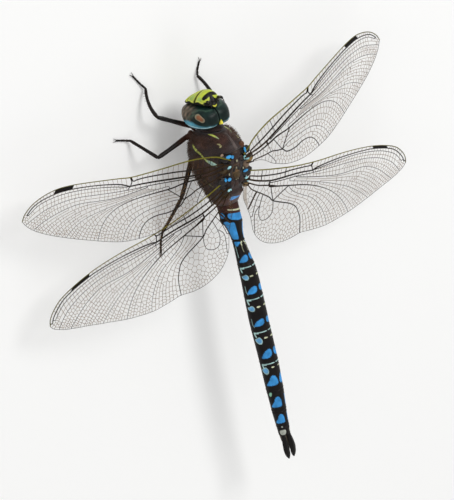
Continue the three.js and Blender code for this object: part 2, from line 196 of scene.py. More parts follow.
def shell_finish(name, ground, marks=(), roughness=0.42, mottle=0.3, grain=6000,
                 pits=0.5, coat=0, sheen=0, gloss=0.2):
    """A shell finish. marks is a list of (mask name, colour); later marks lie over earlier."""
    finish, tree = new_finish(name)
    place = add_node(tree, "TexCoord", {})["Object"]
    noise = add_node(tree, "TexNoise", {"Vector": place, "Scale": MOTTLE_SCALE, "Detail": 5.0})["Fac"]
    fine = add_node(tree, "TexNoise", {"Vector": place, "Scale": grain, "Detail": 2.0})["Fac"]
    tone = tree.nodes.new("ShaderNodeRGB")
    tone.outputs[0].default_value = colour(ground)
    paint = tone.outputs[0]
    for mask, code in marks:
        paint = lay_over(tree, read_mask(tree, mask), paint, colour(code))
    shade = tree.nodes.new("ShaderNodeVectorMath")
    shade.operation = "SCALE"
    fill(tree, shade, {0: paint, "Scale": between(tree, noise, 1 - mottle, 1 + mottle, 0.3, 0.7)})
    bump = add_node(tree, "Bump", {"Height": fine, "Strength": pits, "Distance": PIT_DEPTH})
    fill(tree, tree.nodes["Principled BSDF"], {
        "Base Color": shade.outputs["Vector"],
        "Roughness": between(tree, noise, roughness - ROUGH_SPREAD, roughness + ROUGH_SPREAD),
        "Normal": bump["Normal"], "Specular IOR Level": gloss,
        "Coat Weight": coat, "Coat Roughness": WAX_ROUGHNESS, "Sheen Weight": sheen})
    return finish


print("pits in mm:", PIT_DEPTH * 1000)

# %% [markdown]
# ## Sections of the body
# The trunk is a stack of rounded upright sections, each a superellipse with the sizes of the solids. In front
# of the wings the back is a rounded ridge; between them it is broad and flat, so the power and the taper
# change along the body.

# %% Section maker
AROUND = 176


def unit(vectors):
    """The vectors, each cut to a length of 1."""
    return vectors / np.linalg.norm(vectors, axis=-1, keepdims=True)


def signed_power(value, power):
    return np.sign(value) * np.abs(value) ** power


def body_rings(rows, power, taper, around=AROUND):
    """rows has y, top, bottom and half width; power and taper are one number, or one per row."""
    turn = 2 * np.pi * np.arange(around) / around
    p, taper = (np.broadcast_to(v, len(rows))[:, None] for v in (2 / power, taper))
    up = signed_power(np.sin(turn)[None], p)
    out = signed_power(np.cos(turn)[None], p) * (1 - taper * np.maximum(up, 0))
    y, top, bottom, width = (rows[:, i][:, None] for i in range(4))
    return np.stack([width * out, y + 0 * up, (top + bottom) / 2 + (top - bottom) / 2 * up], axis=2)


print("points in a section of the thorax:", AROUND)

# %% Faces and normals of a stack of rings


def grid_faces(rows, columns, closed=True):
    """Faces of a grid of points; closed joins its last column to its first."""
    faces = []
    for r in range(rows - 1):
        for c in range(columns if closed else columns - 1):
            a, b = r * columns + c, r * columns + (c + 1) % columns
            faces.append((a, b, b + columns, a + columns))
    return faces


def loft_faces(rows, around):
    """Faces of a stack of closed rings, with both ends shut."""
    last = (rows - 1) * around
    return grid_faces(rows, around) + [tuple(range(around)), tuple(range(last, last + around))]


def grid_normals(grid):
    """Outward normals of a closed grid of points, rows x columns x 3."""
    along = np.gradient(grid, axis=0)
    around = np.roll(grid, -1, axis=1) - np.roll(grid, 1, axis=1)
    normal = np.cross(around, along)
    normal /= np.linalg.norm(normal, axis=2, keepdims=True) + 1e-12
    outward = np.sum(normal * (grid - grid.mean(axis=1, keepdims=True)))
    return normal if outward > 0 else -normal


print("faces of a small loft:", len(loft_faces(2, 4)))

# %% [markdown]
# ## The thorax
# The thorax is the flight engine: a box of fused plates, hunched forward, with a low ridge down the middle
# of its front, seams on its flanks, and small raised plates between the wings. Neck shield and thorax are one
# skin, so that no joint shows. It is one loft of close rings, pushed in and out along its own normals: a
# ridge, seams and cushions are then each one short line.

# %% Rings of the thorax
COAT_DEPTH = 0.07
NECK_ROWS = [
    (-8.2, 11, 6.6, 1.3), (-8, 11.5, 6, 1.8), (-7.75, 11.8, 5.7, 2.1), (-7.47, 11.65, 5.75, 2.08),
    (-7.4, 11.55, 5.9, 2)
]
THORAX_ROWS = [
    (-7.34, 12, 5.8, 2.3), (-7, 12.9, 5, 3), (-6.2, 13.8, 4.3, 3.6), (-5.2, 14.6, 3.8, 4),
    (-4.2, 15, 3.6, 4.15), (-3, 14.8, 3.5, 4.25), (-1.2, 14.35, 3.5, 4.25), (0.8, 13.8, 3.8, 4.15),
    (2.6, 13.3, 4.5, 3.9), (4.2, 12.75, 5.3, 3.45), (5.7, 12, 5.9, 2.9), (6.9, 11.2, 6.3, 2.45),
    (7.4, 10.9, 6.5, 2.2)
]
thorax_rows = smooth_line(NECK_ROWS + THORAX_ROWS, 190)
thorax_rows[:, 1] -= COAT_DEPTH
thorax_rows[:, 2] += COAT_DEPTH
thorax_rows[:, 3] -= COAT_DEPTH
ridged_to_broad = ramp(thorax_rows[:, 0], -7.35, -3.2)
thorax_grid = body_rings(thorax_rows, 2.0 + 0.7 * ridged_to_broad, 0.2 - 0.14 * ridged_to_broad)
print("thorax skin:", len(thorax_rows), "rings of", AROUND)

# %% [markdown]
# ## Relief and marks from paths
# Seams and stripes follow a path over the shell, and swellings and spots fill a rounded patch, so two
# functions draw them all. The same path can press a seam in and darken it. Points are folded over the middle
# plane, so that both sides match.

# %% Paths, patches and folding


def blob(points, centre, half, edge=0.2):
    """1 inside a rounded patch, 0 outside: centre and half sizes have one number per axis."""
    q = sum(((points[..., i] - centre[i]) / half[i]) ** 2 for i in range(len(centre)))
    return 1 - ramp(np.sqrt(q), 1 - edge, 1 + edge)


def stripe(points, path, widths, edge=0.04):
    """1 within a width of a path, 0 beyond it."""
    path, widths = np.asarray(path, float), np.asarray(widths, float)
    best = np.full(len(points), -9.0)
    for k in range(len(path) - 1):
        step = path[k + 1] - path[k]
        t = np.clip((points - path[k]) @ step / (step @ step), 0, 1)
        away = np.linalg.norm(points - path[k] - t[:, None] * step, axis=1)
        best = np.maximum(best, widths[k] + (widths[k + 1] - widths[k]) * t - away)
    return ramp(best, -edge, edge)


def strongest(*masks):
    """The highest of several masks at every point."""
    return np.maximum.reduce(masks)


def mirrored(points):
    return np.column_stack([np.abs(points[:, 0]), points[:, 1:]])


print("patch, centre to outside:", blob(np.array([[0], [1], [2]]), [0], [1]))

# %% Seams and swellings of the thorax
SEAMS = {
    "humeral": [(3.1, -6.8, 6.2), (3.65, -6, 8.5), (3.45, -5.3, 11), (2.9, -4.6, 13.2)],
    "side": [(4.2, -3.6, 5.4), (4.3, -2.2, 8.2), (4.2, -1, 10.6), (3.7, 0.2, 13)],
    "rear": [(4.1, 0.2, 5.6), (4, 1.6, 8), (3.75, 3, 10.4), (3, 4.4, 12.4)],
}
# Swellings of the back between the wings: x, y, half length across and along, height
BACK_SWELLS = [
    (0, -2.9, 0.95, 0.8, 0.3), (0, -0.95, 0.5, 0.42, 0.3), (0, 0.9, 0.85, 0.7, 0.3), (0, 2.8, 0.5, 0.5, 0.26),
    (2.9, -2.6, 0.6, 0.9, 0.3), (2.9, 2.3, 0.6, 0.9, 0.3), (1.1, -0.1, 0.4, 0.4, 0.16),
    (1.1, 3.4, 0.4, 0.4, 0.14), (1.6, 5.3, 0.6, 0.6, 0.12)
]
CREST, CREST_WIDTHS = [(0, -4.4, 14.9), (1.2, -4.25, 14.8), (2.3, -4.1, 14.4)], [0.14, 0.16, 0.12]
NECK_SEAM, NECK_LOBES = -7.43, -7.78


def thorax_push(flat):
    """How far each point of the thorax is pushed out along its normal."""
    m = mirrored(flat)
    x, y, z = m.T
    on_top = ramp(z, 10.6, 11.6)
    ridge = 0.2 * np.exp(-(x / 0.12) ** 2) * on_top
    ridge *= ramp(y, -7.2, -6.6) * (1 - ramp(y, -4.5, -4.0))
    hollow = -0.3 * on_top * (1 - ramp(x, 2.4, 3.1)) * ramp(y, -4.15, -3.75)
    hollow *= 1 - ramp(y, 4.3, 5.2)
    push = ridge + hollow
    for side_at, back_at, wide, long, high in BACK_SWELLS:
        q = ((x - side_at) / wide) ** 2 + ((y - back_at) / long) ** 2
        push += high * np.exp(-q ** 2) * on_top
    push += 0.14 * stripe(m, CREST, CREST_WIDTHS, edge=0.2)
    for seam in SEAMS.values():
        push -= 0.1 * stripe(m, seam, [0.05] * len(seam), edge=0.1)
    collar = 0.12 * np.exp(-((y - NECK_SEAM) / 0.06) ** 2)
    lobes = 0.1 * np.exp(-((y - NECK_LOBES) / 0.12) ** 2)
    return push - collar + lobes


thorax_flat = thorax_grid.reshape(-1, 3)
push = thorax_push(thorax_flat)
thorax_skin = thorax_flat + grid_normals(thorax_grid).reshape(-1, 3) * push[:, None]
print("relief of the thorax in mm: from", push.min().round(2), "to", push.max().round(2))

# %% [markdown]
# ## Paint of the thorax
# It is chocolate brown. A short yellow-green bow lies on each side of the front, a longer stripe crosses
# each flank and turns pale blue-green where it widens under the wing, a thinner one follows behind, and the
# raised plates at the wing roots are sky blue. A grey-brown line down the ridge in front is the ridge's own
# tone with a painted highlight on it.

# %% Thorax marks
SHOULDER_BOW = [(2.05, -7.3, 10.2), (1.95, -7.25, 10.9), (1.85, -7, 11.8), (1.68, -6.55, 12.6)]
SMALL_CRESCENT = [(2.5, -5.85, 12.7), (2.28, -5.75, 13.1), (2.2, -5.45, 13.45), (2.45, -5.25, 13.4)]
FLANK_STRIPE = [
    (3.7, -5.3, 6.9), (4.05, -4.55, 7.9), (4.2, -3.95, 9.3), (4.2, -3.25, 10), (4.1, -2.75, 10.7),
    (3.95, -2.35, 11.6), (3.65, -1.95, 12.4)
]
REAR_STRIPE = [(4.05, 1.3, 8.7), (3.9, 2.15, 9.5), (3.7, 2.75, 10.4)]
# The ridge in front: its own grey-brown with a painted highlight, as a line with its widths.
RIDGE_HIGHLIGHT, RIDGE_HIGHLIGHT_WIDTHS = [(0, -7, 12.7), (0, -5.8, 13.95), (0, -4.4, 14.95)], [0.18, 0.26, 0.32]
WAIST_SPOT, WAIST_WIDTHS = [(0.85, 5.95), (0, 6.1), (-0.9, 6.2), (-1.6, 6.3)], [0.42, 0.3, 0.14, 0.04]


def thorax_marks(points):
    m = mirrored(points)
    x, y, z = m.T
    flank = stripe(m, FLANK_STRIPE, [0.2, 0.3, 0.2, 0.11, 0.2, 0.4, 0.34])
    bow = stripe(m, SHOULDER_BOW, [0.1, 0.19, 0.17, 0.04])
    top = ramp(z, 11, 12) * ramp(y, -4.2, -3.8) * (1 - ramp(y, 4.4, 5.2))
    return {
        "warm": strongest(0.7 * blob(m, (1.5, -6.3, 12.6), (1.2, 1.2, 1.6), 0.7),
                          0.6 * blob(m, (3.5, -6, 9), (1.2, 1.2, 2.2), 0.7),
                          0.5 * blob(m, (4.1, -0.5, 8.5), (1, 2, 2.6), 0.8),
                          0.9 * blob(m, (1, 6.4, 10.4), (2.4, 1, 1.9), 0.4)),
        "black": strongest(0.8 * top * ramp(x, 0.8, 1.3) * (1 - ramp(x, 2.9, 3.6)),
                           0.75 * strongest(*(stripe(m, seam, [0.04] * 4, 0.06) for seam in SEAMS.values())),
                           0.8 * np.exp(-((y - NECK_SEAM) / 0.07) ** 2),
                           0.45 * stripe(m, [(2.9, -6.3, 12), (3.1, -4.9, 13.2)], [0.3, 0.25], 0.3)),
        "tan": strongest(0.8 * top * blob(m, (0, 0.5, 14), (1, 1.5, 2), 0.5),
                         0.5 * top * blob(m, (0, -2.9, 14.5), (0.9, 0.9, 1), 0.4)),
        # grey-brown of the front ridge, with a painted highlight on it
        "ridge": 0.8 * stripe(m, RIDGE_HIGHLIGHT, RIDGE_HIGHLIGHT_WIDTHS, 0.14),
        "cream": stripe(m, SMALL_CRESCENT, [0.05, 0.14, 0.13, 0.07], 0.05),
        "yellow": strongest(bow, flank, 0.2 * stripe(m, REAR_STRIPE, [0.08, 0.12, 0.1])),
        "pale_blue": strongest(flank * ramp(z, 10.3, 11.2), 0.8 * bow * ramp(z, 11.6, 12.6)),
        "blue": stripe(points[:, :2], WAIST_SPOT, WAIST_WIDTHS, 0.06) * (z > 9.5),
    }


thorax_masks = thorax_marks(thorax_flat)
print("marks of the thorax:", ", ".join(thorax_masks))

# %% Thorax finish and piece
THORAX_PAINTS = [
    ("warm", "#4C3029"), ("ridge", "#5F5450"), ("tan", "#6A502F"), ("black", "#120D0C"), ("cream", "#E4DFA0"),
    ("yellow", "#CBD766"), ("pale_blue", "#B2D6CB"), ("blue", "#4A8FD0")
]
thorax_finish = shell_finish("thorax_shell", "#2A1C1A", THORAX_PAINTS, roughness=0.48, mottle=0.4,
                             pits=0.6, sheen=0.15)
make_piece("thorax_skin", thorax_skin, loft_faces(len(thorax_rows), AROUND), thorax_finish, "thorax",
           replaces=("thorax", "prothorax"), masks=thorax_masks)

# %% [markdown]
# ## Plates of the back
# Between the wings the back is a mosaic of hard plates set in soft skin. They carry blue and pale green
# caps, and they lever the wings, so they stand proud of the back. Each is a flattened ball sunk halfway into
# the skin. A ball of even triangles has no poles that would pinch the caps.

# %% Balls and groups


def even_ball(level):
    ball = bmesh.new()
    bmesh.ops.create_icosphere(ball, subdivisions=level, radius=1.0)
    points = np.array([v.co[:] for v in ball.verts])
    faces = [tuple(v.index for v in face.verts) for face in ball.faces]
    ball.free()
    return points, faces


def gather(parts):
    """Joins several (points, faces) into one, and says which part each point came from."""
    points, faces, owner, start = [], [], [], 0
    for k, (p, f) in enumerate(parts):
        points.append(p)
        faces += [tuple(i + start for i in face) for face in f]
        owner.append(np.full(len(p), k))
        start += len(p)
    return np.vstack(points), faces, np.concatenate(owner)


print("points on an even ball:", len(even_ball(4)[0]))

# %% Table of the back plates
# Which side (0 is both), place, half size, paint of the cap, and how much of the plate's top the cap covers
BACK_PLATES = [
    (0, (2.6, -3, 14.2), (1.2, 0.8, 0.4), "black", 0), (0, (2.4, -1.4, 13.9), (1, 0.6, 0.34), "black", 0),
    (0, (3, 1.6, 12.8), (1.3, 0.85, 0.4), "black", 0), (0, (2.5, 3.3, 12.3), (1, 0.62, 0.36), "black", 0),
    (1, (1.95, -3.25, 14.62), (0.72, 0.34, 0.32), "blue", 0.9),
    (1, (1.1, -2.95, 14.72), (0.36, 0.36, 0.22), "blue", 0.75),
    (-1, (-2.1, -3.2, 14.7), (0.26, 0.62, 0.3), "blue", 0.8),
    (-1, (-2.07, -1.65, 14.34), (0.34, 0.42, 0.3), "pale", 0.95),
    (-1, (-2.65, -1.3, 14.36), (0.4, 0.32, 0.28), "pale", 0.95),
    (-1, (-3.1, 0, 13), (0.8, 1, 0.4), "cream", 1.1),
    (1, (1.95, -1.1, 14.26), (0.52, 0.28, 0.22), "pale", 0.9),
    (1, (2.6, 1.35, 13.18), (0.26, 0.4, 0.28), "blue", 0.9),
    (1, (1.85, 1.5, 13.42), (0.48, 0.34, 0.26), "blue", 0.9),
    (-1, (-2.3, 1.25, 13.45), (0.6, 0.26, 0.28), "blue", 0.85),
    (-1, (-2.74, 3, 12.62), (0.42, 0.24, 0.26), "pale", 0.9),
    (-1, (-3.05, 3.7, 12.42), (0.28, 0.26, 0.24), "pale", 0.9),
    (1, (1.85, 3.8, 12.74), (0.56, 0.26, 0.24), "pale", 0.9),
    (-1, (-1.7, -4.5, 14.56), (0.6, 0.7, 0.4), "tan", 0.95),
    (1, (2.95, -3.85, 14.05), (0.42, 0.34, 0.3), "cream", 0.8),
    (0, (3.3, 0.55, 12.95), (0.36, 0.32, 0.26), "brown", 0.6),
    (0, (1.15, -2, 14.38), (0.5, 0.5, 0.2), "brown", 1),
    (0, (1.15, 2.5, 13.2), (0.55, 0.55, 0.22), "brown", 1),
    (0, (0, -2.9, 14.62), (0.75, 0.8, 0.26), "brown", 1), (0, (0, 1.1, 13.5), (0.85, 0.9, 0.34), "amber", 1),
    (0, (0, -0.6, 13.98), (0.45, 0.5, 0.2), "brown", 1), (0, (0.6, 0, 13.75), (0.3, 0.4, 0.16), "black", 0),
    (1, (0.02, -1.8, 14.45), (0.2, 0.3, 0.16), "dot", 1),
    (1, (0.24, -0.42, 14.16), (0.16, 0.24, 0.14), "dot", 1),
    (0, (1.75, 0.48, 13.6), (0.16, 0.24, 0.14), "dot", 1), (0, (0.2, 2, 13.4), (0.2, 0.14, 0.12), "dot", 0.9),
    (0, (0, 3, 12.9), (0.5, 0.5, 0.22), "brown", 1), (0, (1.4, 5, 12.1), (0.5, 0.45, 0.2), "brown", 1)
]
print("back plates in the table:", len(BACK_PLATES))

# %% Back plates
plate_ball, plate_faces = even_ball(4)
plates, plate_caps = [], {key: [] for key in ("tan", "cream", "brown", "amber", "blue", "pale", "dot")}
for side in (1, -1):
    for only, centre, half, paint, cover in BACK_PLATES:
        if only == -side:
            continue
        wave = 0.1 * np.sin(7 * plate_ball[:, 0] + 5 * plate_ball[:, 1] + centre[1])
        points = np.array(centre) + plate_ball * (1 + 0.5 * wave[:, None]) * half
        points = points * [1 if only else side, 1, 1]
        cap = ramp(plate_ball[:, 2] + wave, 0.85 - cover, 1.1 - cover)
        for key, caps in plate_caps.items():
            caps.append(cap * (paint == key))
        plates.append((points, plate_faces))
plate_points, plate_all_faces, _ = gather(plates)
PLATE_PAINTS = [
    ("brown", "#2C1D18"), ("amber", "#3F3018"), ("tan", "#533019"), ("cream", "#8F7863"), ("blue", "#3F9CD8"),
    ("pale", "#9CCFD4"), ("dot", "#A39F84")
]
plate_finish = shell_finish("back_plate", "#14100E", PLATE_PAINTS, mottle=0.45, coat=0.05)
make_piece("back_plates", plate_points, plate_all_faces, plate_finish, "thorax",
           masks={key: np.concatenate(caps) for key, caps in plate_caps.items()})

# %% [markdown]
# ## Hair of the thorax
# A hawker's thorax is furry: fine brown hairs stand out at the front and along the flanks and lie shorter
# between the wings. Particle hair would be lost on export, so the hairs are real, very thin three-sided
# spikes in tufts of three. Each tuft takes the paint of the skin at its root, which its own small patch of a
# map carries.

# %% Where the hair stands


def hair_length(points):
    """Wanted length of the hair in mm at each point of the thorax."""
    m = mirrored(points)
    x, y, z = m.T
    front = 0.75 * (1 - ramp(y, -6.2, -4.2)) * ramp(x, 0.2, 0.6)
    flank = 0.7 * (1 - ramp(z, 8.5, 12.0))
    top = 0.16 * ramp(z, 11.0, 12.0)
    marks = thorax_marks(points)
    bare = strongest(marks["yellow"], marks["pale_blue"], marks["blue"])
    keep = 1 - strongest(blob(m, (2.3, -2.4, 14.2), (1.2, 1.6, 1)), blob(m, (2.5, 2.3, 12.8), (1.2, 1.7, 1)))
    ends = ramp(y, -7.3, -6.9) * (1 - ramp(y, 6.3, 7.2))
    return strongest(front, flank, top) * keep * ends * (1 - 0.9 * bare)


TUFTS = 6000
chance = np.random.default_rng(5)
skin_grid = thorax_skin.reshape(-1, AROUND, 3)
area = np.linalg.norm(np.roll(skin_grid, -1, 1) - skin_grid, axis=2)
area *= np.linalg.norm(np.gradient(skin_grid, axis=0), axis=2)
long = hair_length(thorax_skin)
weight = (area.ravel() * (long > 0.05)) * (0.4 + long)
tuft_at = chance.choice(len(thorax_skin), TUFTS, p=weight / weight.sum())
long = long[tuft_at] * chance.uniform(0.7, 1.25, TUFTS)
print("tufts:", TUFTS, "with hairs of", long.mean().round(2), "mm on average")

# %% Spikes of a tuft
LIE = np.array([0.0, 1.0, -0.35])
SPIKE_FACES = [[0, 1, 4, 3], [1, 2, 5, 4], [2, 0, 3, 5], [3, 4, 6], [4, 5, 6], [5, 3, 6]]
root, out = thorax_skin[tuft_at], grid_normals(skin_grid).reshape(-1, 3)[tuft_at]
lie = LIE - out * (out @ LIE)[:, None]


def spikes():
    """One three-sided spike for each tuft: two rings of three points, and the tip."""
    way = unit(out * 0.75 + lie * 0.45 + chance.normal(0, 0.28, (TUFTS, 3)))
    side = unit(np.cross(way, chance.normal(size=(TUFTS, 3))))
    other = np.cross(way, side)
    own = (long * chance.uniform(0.75, 1.1, TUFTS))[:, None]
    rings = [centre + radius * (side * math.cos(a) + other * math.sin(a))
             for centre, radius in ((root - way * 0.05, 0.015), (root + way * own * 0.5, 0.011))
             for a in (0, 2.094, 4.189)]
    return np.stack(rings + [root + way * own * 0.95 + lie * own * 0.22], axis=1)


hair_points = np.concatenate([spikes() for _ in range(3)]).reshape(-1, 3)
hair_faces = []
for block in np.split(7 * np.arange(3 * TUFTS)[:, None], 3):
    for corners in SPIKE_FACES:
        hair_faces += (block + corners).tolist()
print("hairs:", len(hair_points) // 7)

# %% Hair piece and its map
HAIR_PAINTS = [
    ("warm", "#6A4A3A"), ("tan", "#6E5740"), ("black", "#2A1F1B"), ("yellow", "#B9BE7E"),
    ("pale_blue", "#A9C4BC"), ("blue", "#5E92BC")
]
PATCH = 0.0015
hair_finish = shell_finish("thorax_hair", "#56443A", HAIR_PAINTS, roughness=0.6, pits=0.2)
owner = np.tile(np.repeat(tuft_at, 7), 3)
hair = make_piece("thorax_hair", hair_points, hair_faces, hair_finish, "thorax",
                  masks={key: mask[owner] for key, mask in thorax_masks.items()}).data
spot = np.column_stack([(tuft_at % AROUND + 0.5) / AROUND, (tuft_at // AROUND + 0.5) / len(thorax_rows)])
corners = np.array([(-1, -1), (1, -1), (1, 1), (-1, 1), (0, -1), (0, 1), (0, 0)]) * PATCH
uv = np.tile((spot[:, None] + corners).reshape(-1, 2), (3, 1))
index = np.empty(len(hair.loops), np.int32)
hair.loops.foreach_get("vertex_index", index)
hair_map = hair.uv_layers.new(name="OFBake")
hair_map.data.foreach_set("uv", np.clip(uv[index], 0.001, 0.999).astype(np.float32).ravel())
print("patches on the hair's map:", TUFTS)

# %% [markdown]
# ## The abdomen
# Ten tubes telescope into a slender rod that swells behind the thorax, narrows to a waist on the third
# segment and then widens again. One skin covers all ten. A groove is pressed in at each joint, each segment
# has a fine raised ring across it, and its back has a keel line. The rings are closest near the joints.

# %% Stations along the abdomen
JOINTS = [7.5, 9.4, 15.0, 19.85, 26.15, 32.75, 39.25, 45.0, 49.3, 52.7, 54.3]
GIRTH = [
    (7.5, 2.15), (9.4, 2.1), (11.2, 2.1), (13, 1.5), (14.8, 1.25), (17, 1.36), (20.3, 1.72), (24, 1.82),
    (30, 1.92), (33, 1.9), (39.5, 1.84), (45, 1.72), (49.3, 1.48), (52.7, 1.28), (54.3, 1.18)
]
AXIS = [(7.5, 8.75), (11, 9.1), (15, 9.9), (20.5, 10.85), (30, 11.5), (40, 11.9), (48, 11.95), (54.3, 11.85)]
RING_AT = [0.55, 0.28, 0.27, 0.29, 0.25, 0.2, 0.15, 0.12, 0.1, 0.1]


def read_stops(stops, at, column=1):
    return np.interp(at, [s[0] for s in stops], [s[column] for s in stops])


def smooth_read(stops, at):
    """Reads the stops with their corners rounded off."""
    return sum(read_stops(stops, at + shift) for shift in (-0.7, -0.35, 0, 0.35, 0.7)) / 5


stations = []
for start, end in zip(JOINTS[:-1], JOINTS[1:]):
    count = max(int((end - start) / 0.1), 16)
    t = np.arange(count) / count
    stations.append(start + (end - start) * (t - 0.06 * np.sin(2 * np.pi * t)))
belly_y = np.append(np.concatenate(stations), JOINTS[-1])
belly_y[0] += 0.03
belly_y[-1] -= 0.03
print("sections along the abdomen:", len(belly_y))

# %% Grooves, rings and skin of the abdomen
BELLY_AROUND = 132
belly_width = smooth_read(GIRTH, belly_y) - COAT_DEPTH
belly_axis = smooth_read(AXIS, belly_y)
segment_of = np.clip(np.searchsorted(JOINTS, belly_y, side="right") - 1, 0, 9)
share = np.array([(y - JOINTS[k]) / (JOINTS[k + 1] - JOINTS[k]) for y, k in zip(belly_y, segment_of)])
groove = sum(np.exp(-((belly_y - j) / 0.07) ** 2) for j in JOINTS[1:-1])
swell = sum(np.exp(-((belly_y - j + 0.2) / 0.16) ** 2) for j in JOINTS[1:-1])
ring_line = np.exp(-((share - np.array(RING_AT)[segment_of]) * 6 / 0.11) ** 2)
belly_width = belly_width - 0.13 * groove + 0.045 * swell + 0.03 * ring_line
belly_depth = belly_width * 0.95
belly_rows = np.column_stack([belly_y, belly_axis + belly_depth, belly_axis - belly_depth, belly_width])
belly_grid = body_rings(belly_rows, 2.2, 0.0, BELLY_AROUND)
belly_flat = belly_grid.reshape(-1, 3)
print("abdomen skin:", len(belly_y), "rings of", BELLY_AROUND)

# %% [markdown]
# ## Marks of the abdomen
# The ground is near black. Each segment carries sky-blue blots: a large pair at its rear edge, a thin wedge
# pair near its middle, and a pair low on its front corners. A place is given here as a share of the segment's
# length and an angle down from the top of the back, in degrees. Each blot is a rounded patch in those two
# numbers, folded over the back so that both sides match.

# %% Share and angle of every point
ROLL = 5.0
LENGTHS = np.diff(JOINTS)
DEGREE = math.radians(1) * 1.7
belly_share = np.repeat(share, BELLY_AROUND)
belly_segment = np.repeat(segment_of, BELLY_AROUND) + 1
dx = belly_flat[:, 0]
dz = belly_flat[:, 2] - np.repeat(belly_axis, BELLY_AROUND)
turned = np.degrees(np.arctan2(dx, dz)) + ROLL
angle = np.where(turned > 180, 360 - turned, np.abs(turned))


def on_segment(number):
    here = np.flatnonzero(belly_segment == number)
    return here, np.column_stack([belly_share[here] * LENGTHS[number - 1], angle[here] * DEGREE])


def spread_out(number, stops):
    """Lays places given as (share, degrees) out flat, in mm."""
    return np.array([(part * LENGTHS[number - 1], degrees * DEGREE) for part, degrees in stops])


print("segments in mm:", LENGTHS.round(2))

# %% Blots and streaks
LOOP_POINTS = 120


def smooth_loop(corners):
    wrapped = np.vstack([corners[-2:], corners, corners[:2]])
    line = smooth_line(wrapped, LOOP_POINTS)
    first, last = 2 / (len(wrapped) - 1), (len(wrapped) - 2) / (len(wrapped) - 1)
    return line[int(first * LOOP_POINTS):int(last * LOOP_POINTS)]


def place_mask(here, values):
    mask = np.zeros(len(belly_flat))
    mask[here] = values
    return mask


def blot(number, outline, edge=0.05, wobble=0.0):
    """1 inside an outline given as (share of the segment, degrees from the top)."""
    here, at = on_segment(number)
    corners = smooth_loop(spread_out(number, outline))
    away = np.full(len(at), 99.0)
    inside = np.zeros(len(at), bool)
    for a, b in zip(corners, np.roll(corners, -1, axis=0)):
        step = b - a
        t = np.clip((at - a) @ step / (step @ step + 1e-12), 0, 1)
        away = np.minimum(away, np.linalg.norm(at - a - t[:, None] * step, axis=1))
        crosses = (a[1] > at[:, 1]) != (b[1] > at[:, 1])
        inside ^= crosses & (at[:, 0] < a[0] + (at[:, 1] - a[1]) * step[0] / (step[1] + 1e-12))
    rough_edge = wobble * (np.sin(at[:, 1] * 23) + np.sin(at[:, 0] * 19 + at[:, 1] * 9))
    return place_mask(here, ramp(np.where(inside, away, -away) + rough_edge, -edge, edge))


def streak(number, path, wide):
    here, at = on_segment(number)
    return place_mask(here, stripe(at, spread_out(number, path), [wide] * len(path), 0.05))


print("points on an outline:", LOOP_POINTS)

# %% Shapes of the rear blots


def comma(f0, f1, a0, a1):
    """A rear blot: broad beside the keel, drawn out along the rear edge to the side."""
    tall = f1 - f0
    return [(f0 + 0.15 * tall, a0 + 2), (f0, a0 + 12), (f0 + 0.04 * tall, a0 + 26),
            (f0 + 0.16 * tall, a0 + 38), (f0 + 0.36 * tall, a0 + 51), (f1 - 0.32 * tall, a1 - 10),
            (f1 - 0.06 * tall, a1), (f1, a1 - 8), (f1 - 0.01 * tall, a0 + 36),
            (f1 - 0.08 * tall, a0 + 18), (f1 - 0.25 * tall, a0 + 5), (f1 - 0.55 * tall, a0)]


def gable(f0, f1, a0, a1):
    """A rear blot of the last segments: a triangle that stands on the rear edge."""
    tall = f1 - f0
    return [(f0, a0 + 30), (f0 + 0.1 * tall, a0 + 43), (f0 + 0.5 * tall, a0 + 60), (f1 - 0.12 * tall, a1),
            (f1, a1 - 3), (f1, a0 + 40), (f1 - 0.02 * tall, a0 + 12), (f1 - 0.2 * tall, a0),
            (f0 + 0.45 * tall, a0 + 3), (f0 + 0.1 * tall, a0 + 14)]


# Start and end share of the segment, inner and outer angle
REAR_BLOTS = {
    3: (0.54, 0.81, 8, 84), 4: (0.62, 0.845, 9, 81), 5: (0.62, 0.82, 9, 80), 6: (0.56, 0.83, 8, 82),
    7: (0.44, 0.785, 7, 90), 8: (0.27, 0.76, 8, 94), 9: (0.14, 0.69, 7, 92)
}
SIDE_DROPS = {4: (0.27, 55, 1), 5: (0.24, 60, 1), 6: (0.215, 58, 1.3), 7: (0.19, 64, 1.5)}
MIDDLE_WEDGES = {4: (0.3, 12, 36), 5: (0.26, 12, 36), 6: (0.205, 11, 34), 7: (0.15, 13, 33)}
print("segments with rear blots:", len(REAR_BLOTS))

# %% Blue of the abdomen
rear_blots = [blot(n, (comma if n < 7 else gable)(*v), wobble=0.016 if n < 6 else 0.034)
              for n, v in REAR_BLOTS.items()]
blue = strongest(
    *rear_blots,
    blot(2, [(0.02, -30), (0.0, 30), (0.02, 50), (0.1, 56), (0.19, 50), (0.225, 30), (0.225, -30)]),
    blot(2, [(0.35, 30), (0.33, 50), (0.32, 84), (0.6, 96), (0.9, 92), (0.93, 56), (0.9, 32), (0.65, 28)]),
    blot(2, [(0.02, 80), (0.12, 72), (0.19, 84), (0.16, 100), (0.04, 102)]),
    blot(3, [(0.03, 32), (0.03, 84), (0.16, 84), (0.19, 66), (0.12, 48), (0.08, 36)]))
blue *= 1 - (turned - 2 * ROLL < 0) * (belly_segment > 7) * (1 - ramp(angle, 26, 34))
DROP = [(0.03, -5), (-0.02, 6), (0, 20), (0.03, 36), (0.08, 28), (0.11, 12), (0.09, -2)]
drop_rims = np.zeros(len(belly_flat))
for n, (at, a, tall) in SIDE_DROPS.items():
    drop = [(at + 0.03 + (q - 0.03) * tall, a + b) for q, b in DROP]
    rim = [(at + 0.028 + (q - 0.03) * tall * 1.3, a + 12 + (b - 12) * 1.18) for q, b in DROP]
    blue = strongest(blue, 0.74 * blot(n, drop, wobble=0.008))
    drop_rims = strongest(drop_rims, blot(n, rim))
print("blue share of the abdomen skin:", round(float(blue.mean()), 3))

